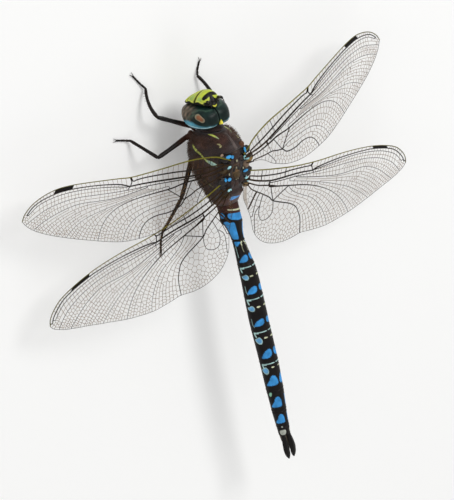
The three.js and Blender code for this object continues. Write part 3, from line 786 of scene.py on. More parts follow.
# %% Pale marks of the abdomen
DARK_SEGMENTS = (4, 5, 6, 7)
ice = strongest(
    0.85 * drop_rims,
    *(streak(n, [(0.03, 66), (0.035, 92), (0.08, 90), (0.15, 84)], 0.15) for n in DARK_SEGMENTS),
    *(streak(n, [(0.012, 8), (0.012, 66)], 0.07) for n in DARK_SEGMENTS),
    streak(3, [(0.2, 84), (0.4, 84), (0.62, 82)], 0.06),
    0.8 * streak(4, [(0.6, 86), (0.78, 86), (0.86, 76)], 0.05),
    0.7 * streak(5, [(0.6, 88), (0.78, 87), (0.85, 78)], 0.05))
wedges = []
for n, (at, a0, a1) in MIDDLE_WEDGES.items():
    middle = (a0 + a1) / 2
    outline = [(at, a0), (at - 0.022, middle + 2), (at - 0.02, a1), (at + 0.012, a1 + 1),
               (at + 0.022, middle)]
    wedges.append(blot(n, outline, 0.04))
pale = strongest(
    *wedges, streak(1, [(0.66, 2), (0.64, 20), (0.6, 44)], 0.13),
    streak(3, [(0.03, 13), (0.07, 26), (0.15, 24)], 0.13),
    0.7 * streak(3, [(0.14, 24), (0.28, 28), (0.42, 24)], 0.05))
whitish = strongest(blot(10, [(0.3, 30), (0.3, 70), (0.5, 86), (0.85, 80), (0.9, 40), (0.6, 24)]),
                    0.8 * blot(9, [(0.9, 44), (0.9, 56), (0.98, 56), (0.98, 44)]))
green = blot(8, [(0.05, 70), (0.05, 84), (0.14, 94), (0.23, 88), (0.19, 75)])
belly_masks = {"reddish": 0.9 * (belly_segment == 1), "green": green, "blue": blue, "ice": ice, "pale": pale,
               "whitish": whitish, "under": 0.7 * ramp(angle, 112, 128)}
print("marks of the abdomen:", ", ".join(belly_masks))

# %% [markdown]
# ## Skin of the abdomen
# The second segment carries a small knob on each side, the auricle. Low on each flank the back plate folds
# under. The real rod isn't quite straight, so the finished skin is bent sideways by a few tenths of a
# millimetre, and the first joints slant.

# %% Abdomen finish and piece
SIDE_BEND = [(23, 0), (31, 0.34), (38, 0.22), (45, 0.2), (50, 0.22), (54, 0)]
auricle = 0.35 * blob(mirrored(belly_flat), (2, 11.1, 8.95), (0.8, 0.75, 0.62), 0.6)
under_fold = -0.1 * np.exp(-((angle - 128) / 5) ** 2)
keel_rise = 0.03 * np.exp(-((angle - ROLL) / 3.5) ** 2) * (belly_segment > 1) * (turned > 0)
blot_sink = -0.012 * blue
belly_push = auricle + under_fold + keel_rise + blot_sink
belly_skin = belly_flat + grid_normals(belly_grid).reshape(-1, 3) * belly_push[:, None]
belly_skin[:, 0] += smooth_read(SIDE_BEND, belly_skin[:, 1])
belly_skin[:, 1] -= 0.27 * dx * ramp(belly_flat[:, 1], 7.6, 8.8) * (1 - ramp(belly_flat[:, 1], 13.0, 18.0))
BELLY_PAINTS = [
    ("reddish", "#3E231E"), ("under", "#1F1613"), ("green", "#93C9AC"), ("pale", "#D6DAB6"),
    ("ice", "#B9DEDA"), ("blue", "#3E92D4"), ("whitish", "#B9BDB2")
]
belly_finish = shell_finish("abdomen_shell", "#0F0B0A", BELLY_PAINTS, mottle=0.28,
                            pits=0.45, coat=0.03, gloss=0.1)
make_piece("abdomen_skin", belly_skin, loft_faces(len(belly_y), BELLY_AROUND), belly_finish, "abdomen",
           replaces=[f"abdomen_{n}" for n in range(1, 11)], masks=belly_masks)

# %% [markdown]
# ## The claspers
# A male ends in three appendages: two long black blades that hold the female's head, and below them a
# shorter, paler one. Each blade is thin at its root, widens to a leaf, and has a sharp tip and a raised keel.
# A leaf section with a keel, swept along a bent line, gives that shape directly.

# %% Claspers
CLASPER_STOPS = [
    (0, 0.85, 0.34), (0.15, 0.9, 0.32), (0.35, 1.2, 0.3), (0.6, 1.42, 0.28), (0.8, 1.25, 0.26),
    (0.93, 0.72, 0.22), (1, 0.12, 0.08)
]
CLASPER_RINGS, CLASPER_AROUND = 60, 28
TAIL_END = 54.2


def clasper(side):
    t = np.linspace(0, 1, CLASPER_RINGS)
    broad = 0.5 * read_stops(CLASPER_STOPS, t)
    thick = read_stops(CLASPER_STOPS, t, column=2)
    broad = np.convolve(np.pad(broad, 3, mode="edge"), np.ones(7) / 7, mode="valid")
    broad[-1], thick[-1] = 0.05, 0.04
    turn = 2 * np.pi * np.arange(CLASPER_AROUND) / CLASPER_AROUND
    rings = []
    for k, s in enumerate(t):
        arch = math.sin(math.pi * s)
        keel = 0.45 * np.exp(-((turn - np.pi / 2) / 0.35) ** 2) * math.sin(math.pi * min(s * 1.1, 1))
        x = 0.64 + 0.16 * arch - 0.02 * s + broad[k] * np.cos(turn)
        z = 12.1 + 0.4 * s + 0.12 * arch + thick[k] * (np.sin(turn) * 0.8 + keel)
        rings.append(np.column_stack([side * x, np.full(CLASPER_AROUND, TAIL_END + 4.95 * s), z]))
    return np.vstack(rings), loft_faces(CLASPER_RINGS, CLASPER_AROUND)


SIDES = ((1, "left"), (-1, "right"))
clasper_finish = shell_finish("clasper_shell", "#0B0908", roughness=0.38, pits=0.4, coat=0.06, gloss=0.1)
for side, name in SIDES:
    make_piece(f"clasper_{name}", *clasper(side), clasper_finish, "claspers", replaces=[f"cercus_{name}"])

# %% Lower clasper
t = np.linspace(0, 1, 24)
lower_rows = np.column_stack([TAIL_END + 3.3 * t, 11.9 + 0.2 * t, 11.1 + 0.5 * t, 1.0 - 0.58 * t**1.5])
lower_finish = shell_finish("lower_clasper_shell", "#574F44", roughness=0.5, pits=0.4)
make_piece("lower_clasper", body_rings(lower_rows, 2.4, 0.0, 24).reshape(-1, 3), loft_faces(24, 24),
           lower_finish, "claspers", replaces=["epiproct"])

# %% [markdown]
# ## The legs
# Each leg has a hip, a stout thigh, a thin shin, a foot of three small links and two claws, and two rows of
# stiff spines, which make the basket that catches prey. All of one leg is one piece, made of swept tubes
# whose radii are listed from end to end. The feet stand on the floor.

# %% Sizes of the legs
# Places of hip, knee, ankle and toe, then half thickness from end to end of each part
LEGS = {
    "fore_left": [(1.6, -8, 4.9), (7.9, -12, 3.6), (7, -17, 0.55), (9.1, -20.3, 0.2)],
    "fore_right": [(-1.6, -8, 4.9), (-6.3, -10.9, 3), (-5.5, -14.85, 0.55), (-6.9, -17.1, 0.2)],
    "mid_left": [(2.4, -6.4, 4.6), (10.8, -5.15, 5), (13, -8.8, 0.6), (15.9, -9.9, 0.2)],
    "mid_right": [(-2.4, -6.4, 4.6), (-6.6, -2.6, 5.2), (-6.9, -6.3, 0.6), (-7.6, -9.2, 0.2)],
    "hind_left": [(2.2, -2.2, 4.2), (8.2, 4, 6), (10.1, 11, 0.6), (11.1, 14.9, 0.2)],
    "hind_right": [(-2.2, -2.2, 4.2), (-6.8, 3.6, 6), (-8, 10.2, 0.6), (-8.6, 13.8, 0.2)],
}
HIP = [0.5, 0.8, 1.0, 1.08, 1.05, 0.92, 0.74, 0.6, 0.56, 0.58, 0.5, 0.36]
THIGH = [0.4, 0.48, 0.5, 0.49, 0.46, 0.43, 0.41, 0.43, 0.44, 0.32]
SHIN = [0.3, 0.37, 0.35, 0.33, 0.32, 0.31, 0.3, 0.3, 0.32, 0.25]
SHIN_BOW = {"fore_left": 0.7, "fore_right": -0.25}
FOOT = [0.19, 0.23, 0.2, 0.23, 0.16, 0.22, 0.2, 0.22, 0.16, 0.2, 0.18, 0.21, 0.18]
LIMB_RINGS, TOE_HEIGHT = 40, 0.2
print("legs:", len(LEGS))

# %% Swept tubes


def tube(path, radii, sides=8):
    """Rings round a path, closed to a point at both ends."""
    path = np.asarray(path, float)
    radii = np.broadcast_to(np.asarray(radii, float), len(path))
    ahead = unit(np.gradient(path, axis=0))
    side = np.cross([0.0, 0.0, 1.0], ahead)
    side /= np.linalg.norm(side, axis=1, keepdims=True) + 1e-9
    over = np.cross(ahead, side)
    turn = 2 * np.pi * np.arange(sides) / sides
    rings = path[:, None] + radii[:, None, None] * (
        side[:, None] * np.cos(turn)[None, :, None] + over[:, None] * np.sin(turn)[None, :, None])
    points = np.vstack([rings.reshape(-1, 3), path[:1], path[-1:]])
    faces = grid_faces(len(path), sides)
    first, last = len(points) - 2, len(points) - 1
    tail = (len(path) - 1) * sides
    for i in range(sides):
        j = (i + 1) % sides
        faces += [(first, j, i), (last, tail + i, tail + j)]
    return points, faces


def limb_line(start, end, count=LIMB_RINGS, bow=0.0, up=(0, 0, 1)):
    """A line from start to end that bows by some mm towards up."""
    t = np.linspace(0, 1, count)[:, None]
    start, end, up = (np.asarray(v, float) for v in (start, end, up))
    return start + (end - start) * t + up * bow * 4 * t * (1 - t)


def radii_along(stops):
    return np.interp(np.linspace(0, 1, LIMB_RINGS), np.linspace(0, 1, len(stops)), stops)


print("rings in a limb:", LIMB_RINGS)

# %% Spines and claws


def spines(limb, count, length, out, slant=0.55):
    """Two rows of stiff bristles along a limb, leaning towards its far end."""
    ahead = unit(limb[-1] - limb[0])
    across = unit(np.cross(ahead, out))
    down = np.cross(across, ahead)
    made = []
    for row in (-1, 1):
        for k in range(count):
            at = limb[int((0.16 + 0.78 * (k + 0.25 * (row + 1)) / count) * (len(limb) - 1))]
            point = unit(across * row * 0.6 - down) * (1 - slant) + ahead * slant
            tip = at + point * length * (0.8 + 0.4 * ((k * 7 + row) % 5) / 5)
            made.append(tube([at, at * 0.5 + tip * 0.5, tip], [0.05, 0.036, 0.008], sides=5))
    return made


def claws(ankle, toe):
    up = np.array([0.0, 0.0, 1.0])
    ahead = unit((toe - ankle) * [1, 1, 0])
    across = np.array([-ahead[1], ahead[0], 0.0])
    made = []
    for turn in (-1, 1):
        tip = toe + ahead * 0.75 + across * turn * 0.32
        path = [toe - ahead * 0.1, toe + ahead * 0.35 + across * turn * 0.2 + up * 0.1, tip - up * 0.1]
        made.append(tube(smooth_line(path, 10), np.linspace(0.1, 0.03, 10)))
    return made


print("middle of a limb:", limb_line((0, 0, 0), (8, 0, 0), 3)[1])

# %% One leg


def leg_parts(name):
    """Hip, thigh, shin and foot of a leg, and then its spines and claws."""
    hip, knee, ankle, toe = (np.array(p) for p in LEGS[name])
    root = hip + np.array([-np.sign(hip[0]) * 0.9, 0.1, 0.6])
    thigh = limb_line(hip, knee, bow=0.12)
    shin = limb_line(knee, ankle, bow=SHIN_BOW.get(name, 0.0), up=(1, 0, 0))
    shin = shin + limb_line(knee, ankle, bow=0.08) - limb_line(knee, ankle)
    foot = limb_line(ankle, toe)
    foot[:, 2] = TOE_HEIGHT + (ankle[2] - TOE_HEIGHT) * (1 - ramp(np.linspace(0, 1, LIMB_RINGS), 0, 0.5))
    up = np.array([0.0, 0.0, 1.0])
    parts = [tube(limb_line(root, hip + (knee - hip) * 0.12, len(HIP)), HIP, 18),
             tube(thigh, radii_along(THIGH), 16),
             tube(shin, radii_along(SHIN), 12), tube(foot, radii_along(FOOT), 10)]
    return parts + spines(thigh, 9, 0.7, up) + spines(shin, 9, 1.1, up, 0.45) + claws(ankle, toe)


print("parts of a leg:", len(leg_parts("fore_left")))

# %% All six legs
HIP_PART, THIGH_PART = 0, 1
leg_finish = shell_finish("leg_shell", "#120D0B", [("reddish", "#3E2419")], mottle=0.35, coat=0.03,
                          gloss=0.12)
for name in LEGS:
    hip, knee = (np.array(p) for p in LEGS[name][:2])
    points, faces, part = gather(leg_parts(name))
    along_thigh = (points - hip) @ (knee - hip) / ((knee - hip) @ (knee - hip))
    thigh_red = 0.8 * (1 - ramp(along_thigh, 0.1, 0.55))
    reddish = np.where(part == HIP_PART, 1.0, np.where(part == THIGH_PART, thigh_red, 0.05))
    points[:, 2] = np.maximum(points[:, 2], 0.005)
    make_piece(f"leg_{name}", points, faces, leg_finish, "legs", masks={"reddish": reddish},
               replaces=[f"{name}_{part}" for part in ("femur", "tibia", "tarsus")])

# %% [markdown]
# ## The eyes
# A hawker's eyes fill its head and meet along a seam on top. Each is a tall, slightly leaning egg with
# thousands of lenses too small to see one by one. It is dark teal above, browner in front below, with a pale
# blue rim behind. Painted light lies on it too: soft lighter bands are painted reflections, a pale line along
# the rim is a painted highlight, and the tan false pupil is a painted reflection, strong on the left eye
# only, with painted shade round it; the inner face where the two eyes meet is painted dark as shade. The egg
# starts as a ball of even triangles, so no stretched poles show, and each point moves out to a
# superellipsoid.

# %% Egg of the eye
EYE_CENTRE, EYE_HALF, EYE_POWER = np.array([1.87, -10.65, 8.35]), np.array([2.4, 2.15, 3.6]), 2.7
EYE_LEAN, EYE_BACK_OUT, EYE_BACK_UP = 0.22, 0.09, 0.19
SEAM = 0.045


def eye_points(ball):
    """A leaning egg, with the side that meets the other eye pressed flat along the seam."""
    reach = np.sum(np.abs(ball) ** EYE_POWER, axis=1) ** (-1 / EYE_POWER)
    out, along, up = (ball * reach[:, None]).T * EYE_HALF[:, None]
    x = EYE_CENTRE[0] + out - EYE_LEAN * np.maximum(up, 0)
    x = SEAM + (x - SEAM + np.sqrt((x - SEAM) ** 2 + 0.02)) / 2
    y = EYE_CENTRE[1] + along + EYE_BACK_OUT * out + EYE_BACK_UP * up
    return np.column_stack([x, y, EYE_CENTRE[2] + up])


ball, ball_faces = even_ball(7)
eye = eye_points(ball)
print("points on an eye:", len(eye))

# %% Zones of the eye
BLUE_RIM = [
    (4.05, -9.75, 6.6), (4.16, -9.65, 7.6), (4.1, -9.5, 8.5), (3.8, -9.3, 9.6), (3.15, -9.12, 10.9),
    (2.28, -9.06, 11.6), (0.8, -8.95, 11.65)
]
BEHIND_RIM = [
    (3.9, -9.2, 6.6), (4.05, -9, 7.6), (3.75, -8.75, 9.3), (3.05, -8.6, 10.9), (2.2, -8.6, 11.6),
    (0.7, -8.4, 11.6)
]
# Path of a painted reflection: a lighter streak across the eye.
REFLECTION_BAND = [(3.63, -12, 8.83), (2.53, -12.31, 9.69), (1.99, -11.95, 10.7), (0.82, -11.85, 11.07)]
DEEP_ARC = [(4.1, -10.9, 8.6), (3.9, -10.2, 9.6), (3.2, -9.9, 10.9), (2.4, -9.75, 11.6)]
# The false pupil is a painted reflection: a tan patch with a pale rim, along this short path.
PUPIL_REFLECTION = eye[[np.argmin(np.linalg.norm(eye - p, axis=1)) for p in ((3.2, -10.6, 10.8), (3.6, -11.35, 10.0))]]
ripple = 0.55 + 0.35 * np.sin(eye[:, 2] * 6 + eye[:, 1] * 2.5) * np.sin(eye[:, 1] * 3.1)
eye_masks = {
    "brown": ripple * strongest(blob(eye, (4, -12.4, 6.6), (1.7, 1.9, 2.3), 0.6),
                                0.6 * blob(eye, (4.4, -11.2, 7.3), (0.8, 1.2, 1.6), 0.6)),
    # Darker zones of the eye, and painted shade round the painted reflection of the false pupil.
    "deep_tone_and_shade": strongest(0.9 * stripe(eye, PUPIL_REFLECTION, [0.75, 0.85], 0.3),
                      0.85 * blob(eye, (1.6, -10.4, 11.9), (1.6, 1.2, 1.6), 0.6),
                      0.75 * blob(eye, (3.2, -10.2, 10.5), (1, 0.5, 1.2), 0.5),
                      0.7 * stripe(eye, DEEP_ARC, [0.2] * 4, 0.35)),
    # Painted reflection: soft lighter streaks over the dark teal.
    "reflection_band": strongest(
        0.6 * stripe(eye, REFLECTION_BAND, [0.05, 0.08, 0.1, 0.03], edge=0.35),
        0.5 * stripe(eye, [(4.2, -11.1, 7.8), (3.95, -11.5, 8.8), (3.3, -11.75, 10)], [0.05, 0.1, 0.04],
                     edge=0.35),
        0.35 * stripe(eye, [(0.35, -11.4, 11.6), (0.3, -9.6, 11.75)], [0.05, 0.08], edge=0.15)),
    "rim": stripe(eye, BLUE_RIM, [0.6, 0.85, 0.85, 0.42, 0.1, 0.06, 0.05], edge=0.3),
    # A pale line along the blue rim: a painted highlight.
    "rim_highlight": stripe(eye, [(x, y + 0.14, z) for x, y, z in BLUE_RIM],
                       [0.02, 0.1, 0.14, 0.12, 0.1, 0.1, 0.07], 0.06),
    # A dark band behind the rim, and painted shade on the inner face where the two eyes meet.
    "dark_and_seam_shade": strongest(stripe(eye, BEHIND_RIM, [0.25] * 6, edge=0.15), 1 - ramp(eye[:, 0], 0.06, 0.16)),
    # Painted reflection of the false pupil: its pale rim, then its tan middle.
    "pupil_reflection_rim": stripe(eye, PUPIL_REFLECTION, [0.44, 0.58], edge=0.08),
    "pupil_reflection": stripe(eye, PUPIL_REFLECTION.mean(0) + (PUPIL_REFLECTION - PUPIL_REFLECTION.mean(0)) * 0.7, [0.3, 0.42], edge=0.1),
}
print("zones of an eye:", ", ".join(eye_masks))

# %% Eye finish and pieces
EYE_PAINTS = [
    ("brown", "#8A7666"), ("deep_tone_and_shade", "#0B1615"), ("reflection_band", "#5C7A66"), ("rim", "#5FA6BE"),
    ("rim_highlight", "#B4D8DE"), ("dark_and_seam_shade", "#0B1112"), ("pupil_reflection_rim", "#8A8069"), ("pupil_reflection", "#87593F")
]
# The painted reflection of the false pupil is kept at a tenth on the right eye.
FAR_PUPIL_REFLECTION = 0.1
eye_finish = shell_finish("eye_lens", "#1B2F2B", EYE_PAINTS, roughness=0.34, mottle=0.32, grain=14000,
                          pits=0.4, coat=0.03, gloss=0.1)
for side, name in SIDES:
    masks = {key: mask * (FAR_PUPIL_REFLECTION if "pupil_reflection" in key and side < 0 else 1) for key, mask in eye_masks.items()}
    make_piece(f"compound_eye_{name}", eye * [side, 1, 1], ball_faces, eye_finish, "eye",
               replaces=[f"eye_{name}"], masks=masks)

# %% [markdown]
# ## The face
# Below the eyes hangs a swollen yellow-green face: the brow with its black T, then the shield, and the upper
# lip, with black grooves between them. It is a stack of level slices, each round in front and following the V
# of the eyes behind. The grooves are one short push in along the normals.

# %% Slices of the face
FACE_SLICES = [
    (5.1, 2.1, -13.7, 0.8), (5.7, 2.6, -14.15, 0.75), (6.6, 2.95, -14.6, 0.85), (7.5, 3.05, -14.95, 0.95),
    (8.3, 2.85, -15.1, 1), (9, 2.55, -15.2, 1), (9.3, 2.4, -15.3, 1), (9.9, 2.25, -15.2, 1),
    (10.4, 1.95, -14.8, 1), (10.7, 1.6, -14.2, 1), (10.95, 1.3, -13.7, 1)
]
face_rows = smooth_line(FACE_SLICES, 130)
FACE_AROUND = 200
EYE_FRONT, EYE_SLANT = -12.3, 0.36
turn = 2 * np.pi * np.arange(FACE_AROUND) / FACE_AROUND
face_rings = []
for z, width, front, power in face_rows:
    x = (width - COAT_DEPTH) * signed_power(np.cos(turn), power)
    back = EYE_FRONT - EYE_SLANT * np.abs(x)
    forward = np.maximum(signed_power(np.sin(turn), power), 0)
    y = back - forward * np.maximum(back - front - COAT_DEPTH, 0.2)
    face_rings.append(np.column_stack([x, y, np.full(FACE_AROUND, z)]))
face_grid = np.array(face_rings)
face_flat = face_grid.reshape(-1, 3)
print("face skin:", len(face_rows), "slices of", FACE_AROUND)

# %% Grooves of the face
m = mirrored(face_flat)
face_x, face_y, face_z = m.T
SHIELD_TOP, SHIELD_LOW, LIP_LOW = 8.34, 6.5, 5.35


def groove_at(height, width=0.09):
    return np.exp(-((face_z - height - 0.13 * np.minimum(face_x, 2.0)) / width) ** 2)


face_push = (-0.12 * groove_at(SHIELD_TOP) - 0.1 * groove_at(SHIELD_LOW) - 0.08 * groove_at(LIP_LOW)
             - 0.06 * np.exp(-(face_x / 0.2) ** 2) * ramp(face_z, 9.6, 10.3))
face_skin = face_flat + grid_normals(face_grid).reshape(-1, 3) * (face_push * (face_y < -12.9))[:, None]
print("grooves in mm:", -face_push.min().round(2))

# %% [markdown]
# ## Marks of the face
# A black T stands on the brow, dark lines with bright borders cross above and below the shield, and a black
# band follows the eyes. The lines reuse the grooves' function, so that the black lies exactly in them.

# %% Face marks
BROW_BAR = [(0, -14.75, 10.42), (0.6, -14.62, 10.42), (1.05, -14.48, 10.37), (1.5, -14.25, 10.22)]
BROW_STEM = [(0, -14.6, 10.6), (0, -14.2, 10.85), (0, -13.8, 11), (0, -13.4, 11)]
cheek = face_y + EYE_SLANT * face_x
rear_edge = cheek + 0.13 * np.cos(3.4 * face_z)
cheek = np.column_stack([cheek, face_z])
face_masks = {
    "green": 0.9 * strongest(blob(cheek, (-13.4, 9.45), (0.45, 0.55), 0.5),
                             blob(cheek, (-13.5, 7.6), (0.6, 0.75), 0.5)),
    "border": 0.8 * strongest(groove_at(SHIELD_TOP - 0.3, 0.12), groove_at(SHIELD_TOP + 0.3, 0.1),
                              groove_at(SHIELD_LOW + 0.25, 0.14), np.exp(-((rear_edge + 12.92) / 0.11) ** 2)),
    "black": strongest(
        groove_at(SHIELD_TOP, 0.24), 0.9 * groove_at(SHIELD_LOW, 0.1), 0.7 * groove_at(LIP_LOW),
        stripe(m, BROW_BAR, [0.4, 0.4, 0.42, 0.34], 0.05), stripe(m, BROW_STEM, [0.36, 0.46, 0.62, 1], 0.05),
        ramp(rear_edge, -12.8, -12.71) * (1 - ramp(face_z, 10.3, 10.6)),
        ramp(face_y, -13.62, -13.5) * ramp(face_z, 10.2, 10.5)),
}
print("marks of the face:", ", ".join(face_masks))

# %% Face finish and piece
FACE_PAINTS = [("green", "#A3C266"), ("border", "#E3E56C"), ("black", "#100F0B")]
face_finish = shell_finish("face_shell", "#C3D04A", FACE_PAINTS, roughness=0.4, mottle=0.16,
                           pits=0.35, coat=0.04, gloss=0.1)
make_piece("face_skin", face_skin, loft_faces(len(face_rows), FACE_AROUND), face_finish, "face",
           replaces=["face"], masks=face_masks)

# %% [markdown]
# ## Crown, simple eyes and feelers
# Behind the brow sits a small raised crown with a yellow spot, three glassy simple eyes round it, and two
# feelers, each a stout root and a hair-thin whip. The simple eyes are small domes, because a dome catches one
# clear highlight.

# %% Crown
CROWN_STOPS = [
    (-13.5, 11, 9.8, 0.7), (-13.35, 11.15, 9.6, 0.95), (-13, 11.42, 9.6, 1.15), (-12.5, 11.55, 9.6, 0.95),
    (-12.1, 11.45, 9.6, 0.55)
]
CROWN_SPOT = [(0, -12.42, 11.5), (0.3, -12.58, 11.45), (0.45, -12.72, 11.4)]
crown = body_rings(smooth_line(CROWN_STOPS, 40), 2.3, 0.1, 60).reshape(-1, 3)
crown_spot = stripe(mirrored(crown - [0.12, 0, 0]), CROWN_SPOT, [0.15, 0.14, 0.05], 0.05)
crown_finish = shell_finish("crown_shell", "#100E0B", [("yellow", "#D9D84E")], roughness=0.4,
                            pits=0.4, coat=0.05, gloss=0.1)
make_piece("crown", crown, loft_faces(40, 60), crown_finish, "face", masks={"yellow": crown_spot})

# %% Simple eyes
SIMPLE_EYE_RADIUS = 0.17
small_ball, small_faces = even_ball(4)
bead_finish = shell_finish("simple_eye_lens", "#2A1B14", roughness=0.2, mottle=0.2, pits=0.1, coat=0.5)
beads = [(small_ball * SIMPLE_EYE_RADIUS + place, small_faces)
         for place in ([0.0, -13.5, 11.0], [1.12, -13.05, 11.2], [-1.12, -13.05, 11.2])]
bead_points, bead_faces, _ = gather(beads)
make_piece("simple_eyes", bead_points, bead_faces, bead_finish, "eye")

# %% Feelers
FEELER = [
    (1.35, -13.6, 10.9), (1.4, -13.7, 11.35), (1.45, -13.68, 11.75), (1.5, -13.45, 12.02),
    (1.55, -13.1, 12.18), (1.62, -12.65, 12.25)
]
FEELER_RADII = [(0, 0.27), (0.15, 0.28), (0.2, 0.23), (0.35, 0.26), (0.55, 0.24), (0.62, 0.12), (1, 0.04)]
feeler_finish = shell_finish("feeler_shell", "#14110F", [("pale", "#6A6550")], roughness=0.45, pits=0.3)
for side, name in SIDES:
    line = smooth_line(np.array(FEELER) * [side, 1, 1], 60)
    points, faces = tube(line, read_stops(FEELER_RADII, np.linspace(0, 1, 60)), 14)
    pale_ring = 0.5 * ramp(points[:, 2], 11.2, 11.6) * (1 - ramp(points[:, 2], 11.7, 11.9))
    make_piece(f"feeler_{name}", points, faces, feeler_finish, "legs", replaces=[f"antenna_{name}"],
               masks={"pale": pale_ring})

# %% [markdown]
# ## Back of the head and mouth
# Between the eyes behind lies the hind wall of the head, with a bright yellow triangle where the eyes' seam
# ends. Below the face the jaws close under a broad lower lip, whose two lobes are swollen leaves tucked under
# the face; here one rounded loft under and behind the eyes stands for the hind wall, jaws and lip together.

# %% Back of the head and mouth
SKULL_ROWS = [
    (-12.9, 8.4, 5, 1.8), (-12, 8.8, 4.8, 2), (-10.2, 8.8, 4.9, 1.9), (-8.8, 9.4, 5.7, 1.7),
    (-8.38, 9.6, 6.4, 1.4)
]
WEDGE_ROWS = [
    (-9.65, 11.86, 10.6, 0.05), (-9.3, 12.04, 10.2, 0.34), (-8.95, 12.12, 9.4, 0.6), (-8.74, 12.04, 9, 0.68),
    (-8.55, 11.3, 8.8, 0.6)
]
wall = body_rings(smooth_line(SKULL_ROWS, 50), 2.2, 0.0, 80).reshape(-1, 3)
wedge = body_rings(smooth_line(WEDGE_ROWS, 24), 2.2, 0.2, 40).reshape(-1, 3) - [0.28, 0.0, 0.0]
skull_points, skull_faces, skull_part = gather([(wall, loft_faces(50, 80)), (wedge, loft_faces(24, 40))])
skull_masks = {"yellow": (skull_part == 1) * ramp(skull_points[:, 2], 11.66, 11.76)}
skull_finish = shell_finish("skull_shell", "#1A1613", [("yellow", "#EDE14C")], roughness=0.5)
make_piece("head_back", skull_points, skull_faces, skull_finish, "face", replaces=["head"], masks=skull_masks)

# %% [markdown]
# ## Where each wing lies
# All four wings are spread flat and droop a little towards their tips. Everything on a wing is drawn in its
# own flat sheet: s runs from the root out to the tip, and c from the front edge back. One function puts a
# point of that sheet into the animal's frame, so left and right share one drawing.

# %% Wing axes
WINGS = {
    "fore": {"root": (3.14, -2.88, 14.74), "left": (11, -9.5, -4), "right": (13, -10.5, -4)},
    "hind": {"root": (3.64, 2.18, 12.94), "left": (-13.5, -8.2, -3), "right": (-16, -7.5, -14)},
}


def wing_axes(kind, side_name):
    side = 1 if side_name == "left" else -1
    sweep, droop, twist = (math.radians(a) for a in WINGS[kind][side_name])
    span = np.array([side * math.cos(sweep) * math.cos(droop), -math.sin(sweep) * math.cos(droop),
                     math.sin(droop)])
    rear = unit(np.array([0.0, 1.0, 0.0]) - span * span[1])
    up = side * np.cross(span, rear)
    chord = rear * math.cos(twist) + up * math.sin(twist)
    over = side * np.cross(span, chord)
    return np.array(WINGS[kind]["root"]) * [side, 1, 1], span, chord, over


print("left forewing points along", wing_axes("fore", "left")[1].round(2))

# %% Wing sheets
# No two wings are quite alike: s of the root, nodus, both ends of the dark spot, and tip, drawn and real
WING_FIT = {
    "fore": [0, 20.2, 33.1, 36.95, 43.5], "hind": [0, 17.8, 34, 38.1, 44.5],
    ("fore", "left"): [0, 20.3, 32.65, 36.5, 43.7], ("fore", "right"): [0, 20.15, 33.1, 36.9, 42.9],
    ("hind", "left"): [0, 16.6, 31.9, 36.2, 43.45], ("hind", "right"): [0, 17.85, 34.35, 38.35, 45]
}


def on_wing(kind, side_name, sheet):
    """Puts sheet points (s, c, lift) into the animal's frame."""
    root, span, chord, over = wing_axes(kind, side_name)
    sheet = np.array(sheet, float)
    beyond = sheet[:, 0] > 0
    sheet[beyond, 0] = np.interp(sheet[beyond, 0], WING_FIT[kind], WING_FIT[kind, side_name])
    return root + sheet[:, :1] * span + sheet[:, 1:2] * chord + sheet[:, 2:3] * over


print("wing sheets:", ", ".join(WINGS), "with", len(WING_FIT) - 2, "fittings")

# %% [markdown]
# ## Outline of a wing
# The front edge is nearly straight, with a slight break halfway at the nodus, and the rear edge is a long
# bow. Both have equally many points, so the skin can be stretched between them.

# %% Wing outlines
LEADING = {
    "fore": [(-0.9, -0.1), (0, -0.55), (1.6, -1.15), (4, -1.42), (7, -1.45), (10, -1.2), (13, -0.85),
        (16.5, -0.5), (20.2, -0.22), (23, -0.38), (27, -0.55), (31, -0.7), (34, -0.7), (36.9, -0.4),
        (39.5, 0.5), (41.6, 1.8), (43, 3.4), (43.5, 4.8)],
    "hind": [(-0.9, 0), (0, -0.42), (3.7, -0.1), (8, 0.12), (12.5, 0.22), (16.8, 0.05), (20.5, -0.28),
        (25, -0.85), (29.3, -1.2), (33.5, -1.3), (37.5, -1), (40.7, -0.35), (42.7, 0.75), (44, 2),
        (44.5, 3.3)],
}
TRAILING = {
    "fore": [(-0.9, 2), (0, 2.75), (1.6, 3.55), (3.2, 4.8), (5.2, 6.9), (8.7, 9.4), (12.2, 10.95),
        (16, 11.85), (21, 12.2), (25, 11.7), (29, 10.8), (33, 9.85), (37, 8.7), (40.2, 7.4), (42.3, 6.1),
        (43.5, 4.8)],
    "hind": [(-0.9, 2.2), (-0.8, 3.8), (-0.3, 5.5), (1.1, 7.3), (2.6, 9.4), (4.4, 12.7), (7.4, 14.8),
        (11, 15.5), (14.5, 15.2), (17.6, 14.25), (19.5, 14.1), (22, 13.9), (25, 13.45), (30, 11.8),
        (34.5, 9.75), (38.5, 7.7), (42, 5.8), (43.9, 4.3), (44.5, 3.3)],
}
EDGE_POINTS = 160
wing_edges = {kind: (smooth_line(LEADING[kind], EDGE_POINTS), smooth_line(TRAILING[kind], EDGE_POINTS))
              for kind in WINGS}
print("edge points on each side of a wing:", EDGE_POINTS)

# %% [markdown]
# ## Main veins
# A wing is a kite: stiff veins carry a skin thinner than paper. The front three veins lie close together and
# do most of the work; the others fan out behind them. The surface rises under some of them and sinks under
# others, like pleats, which is what keeps a real wing stiff.

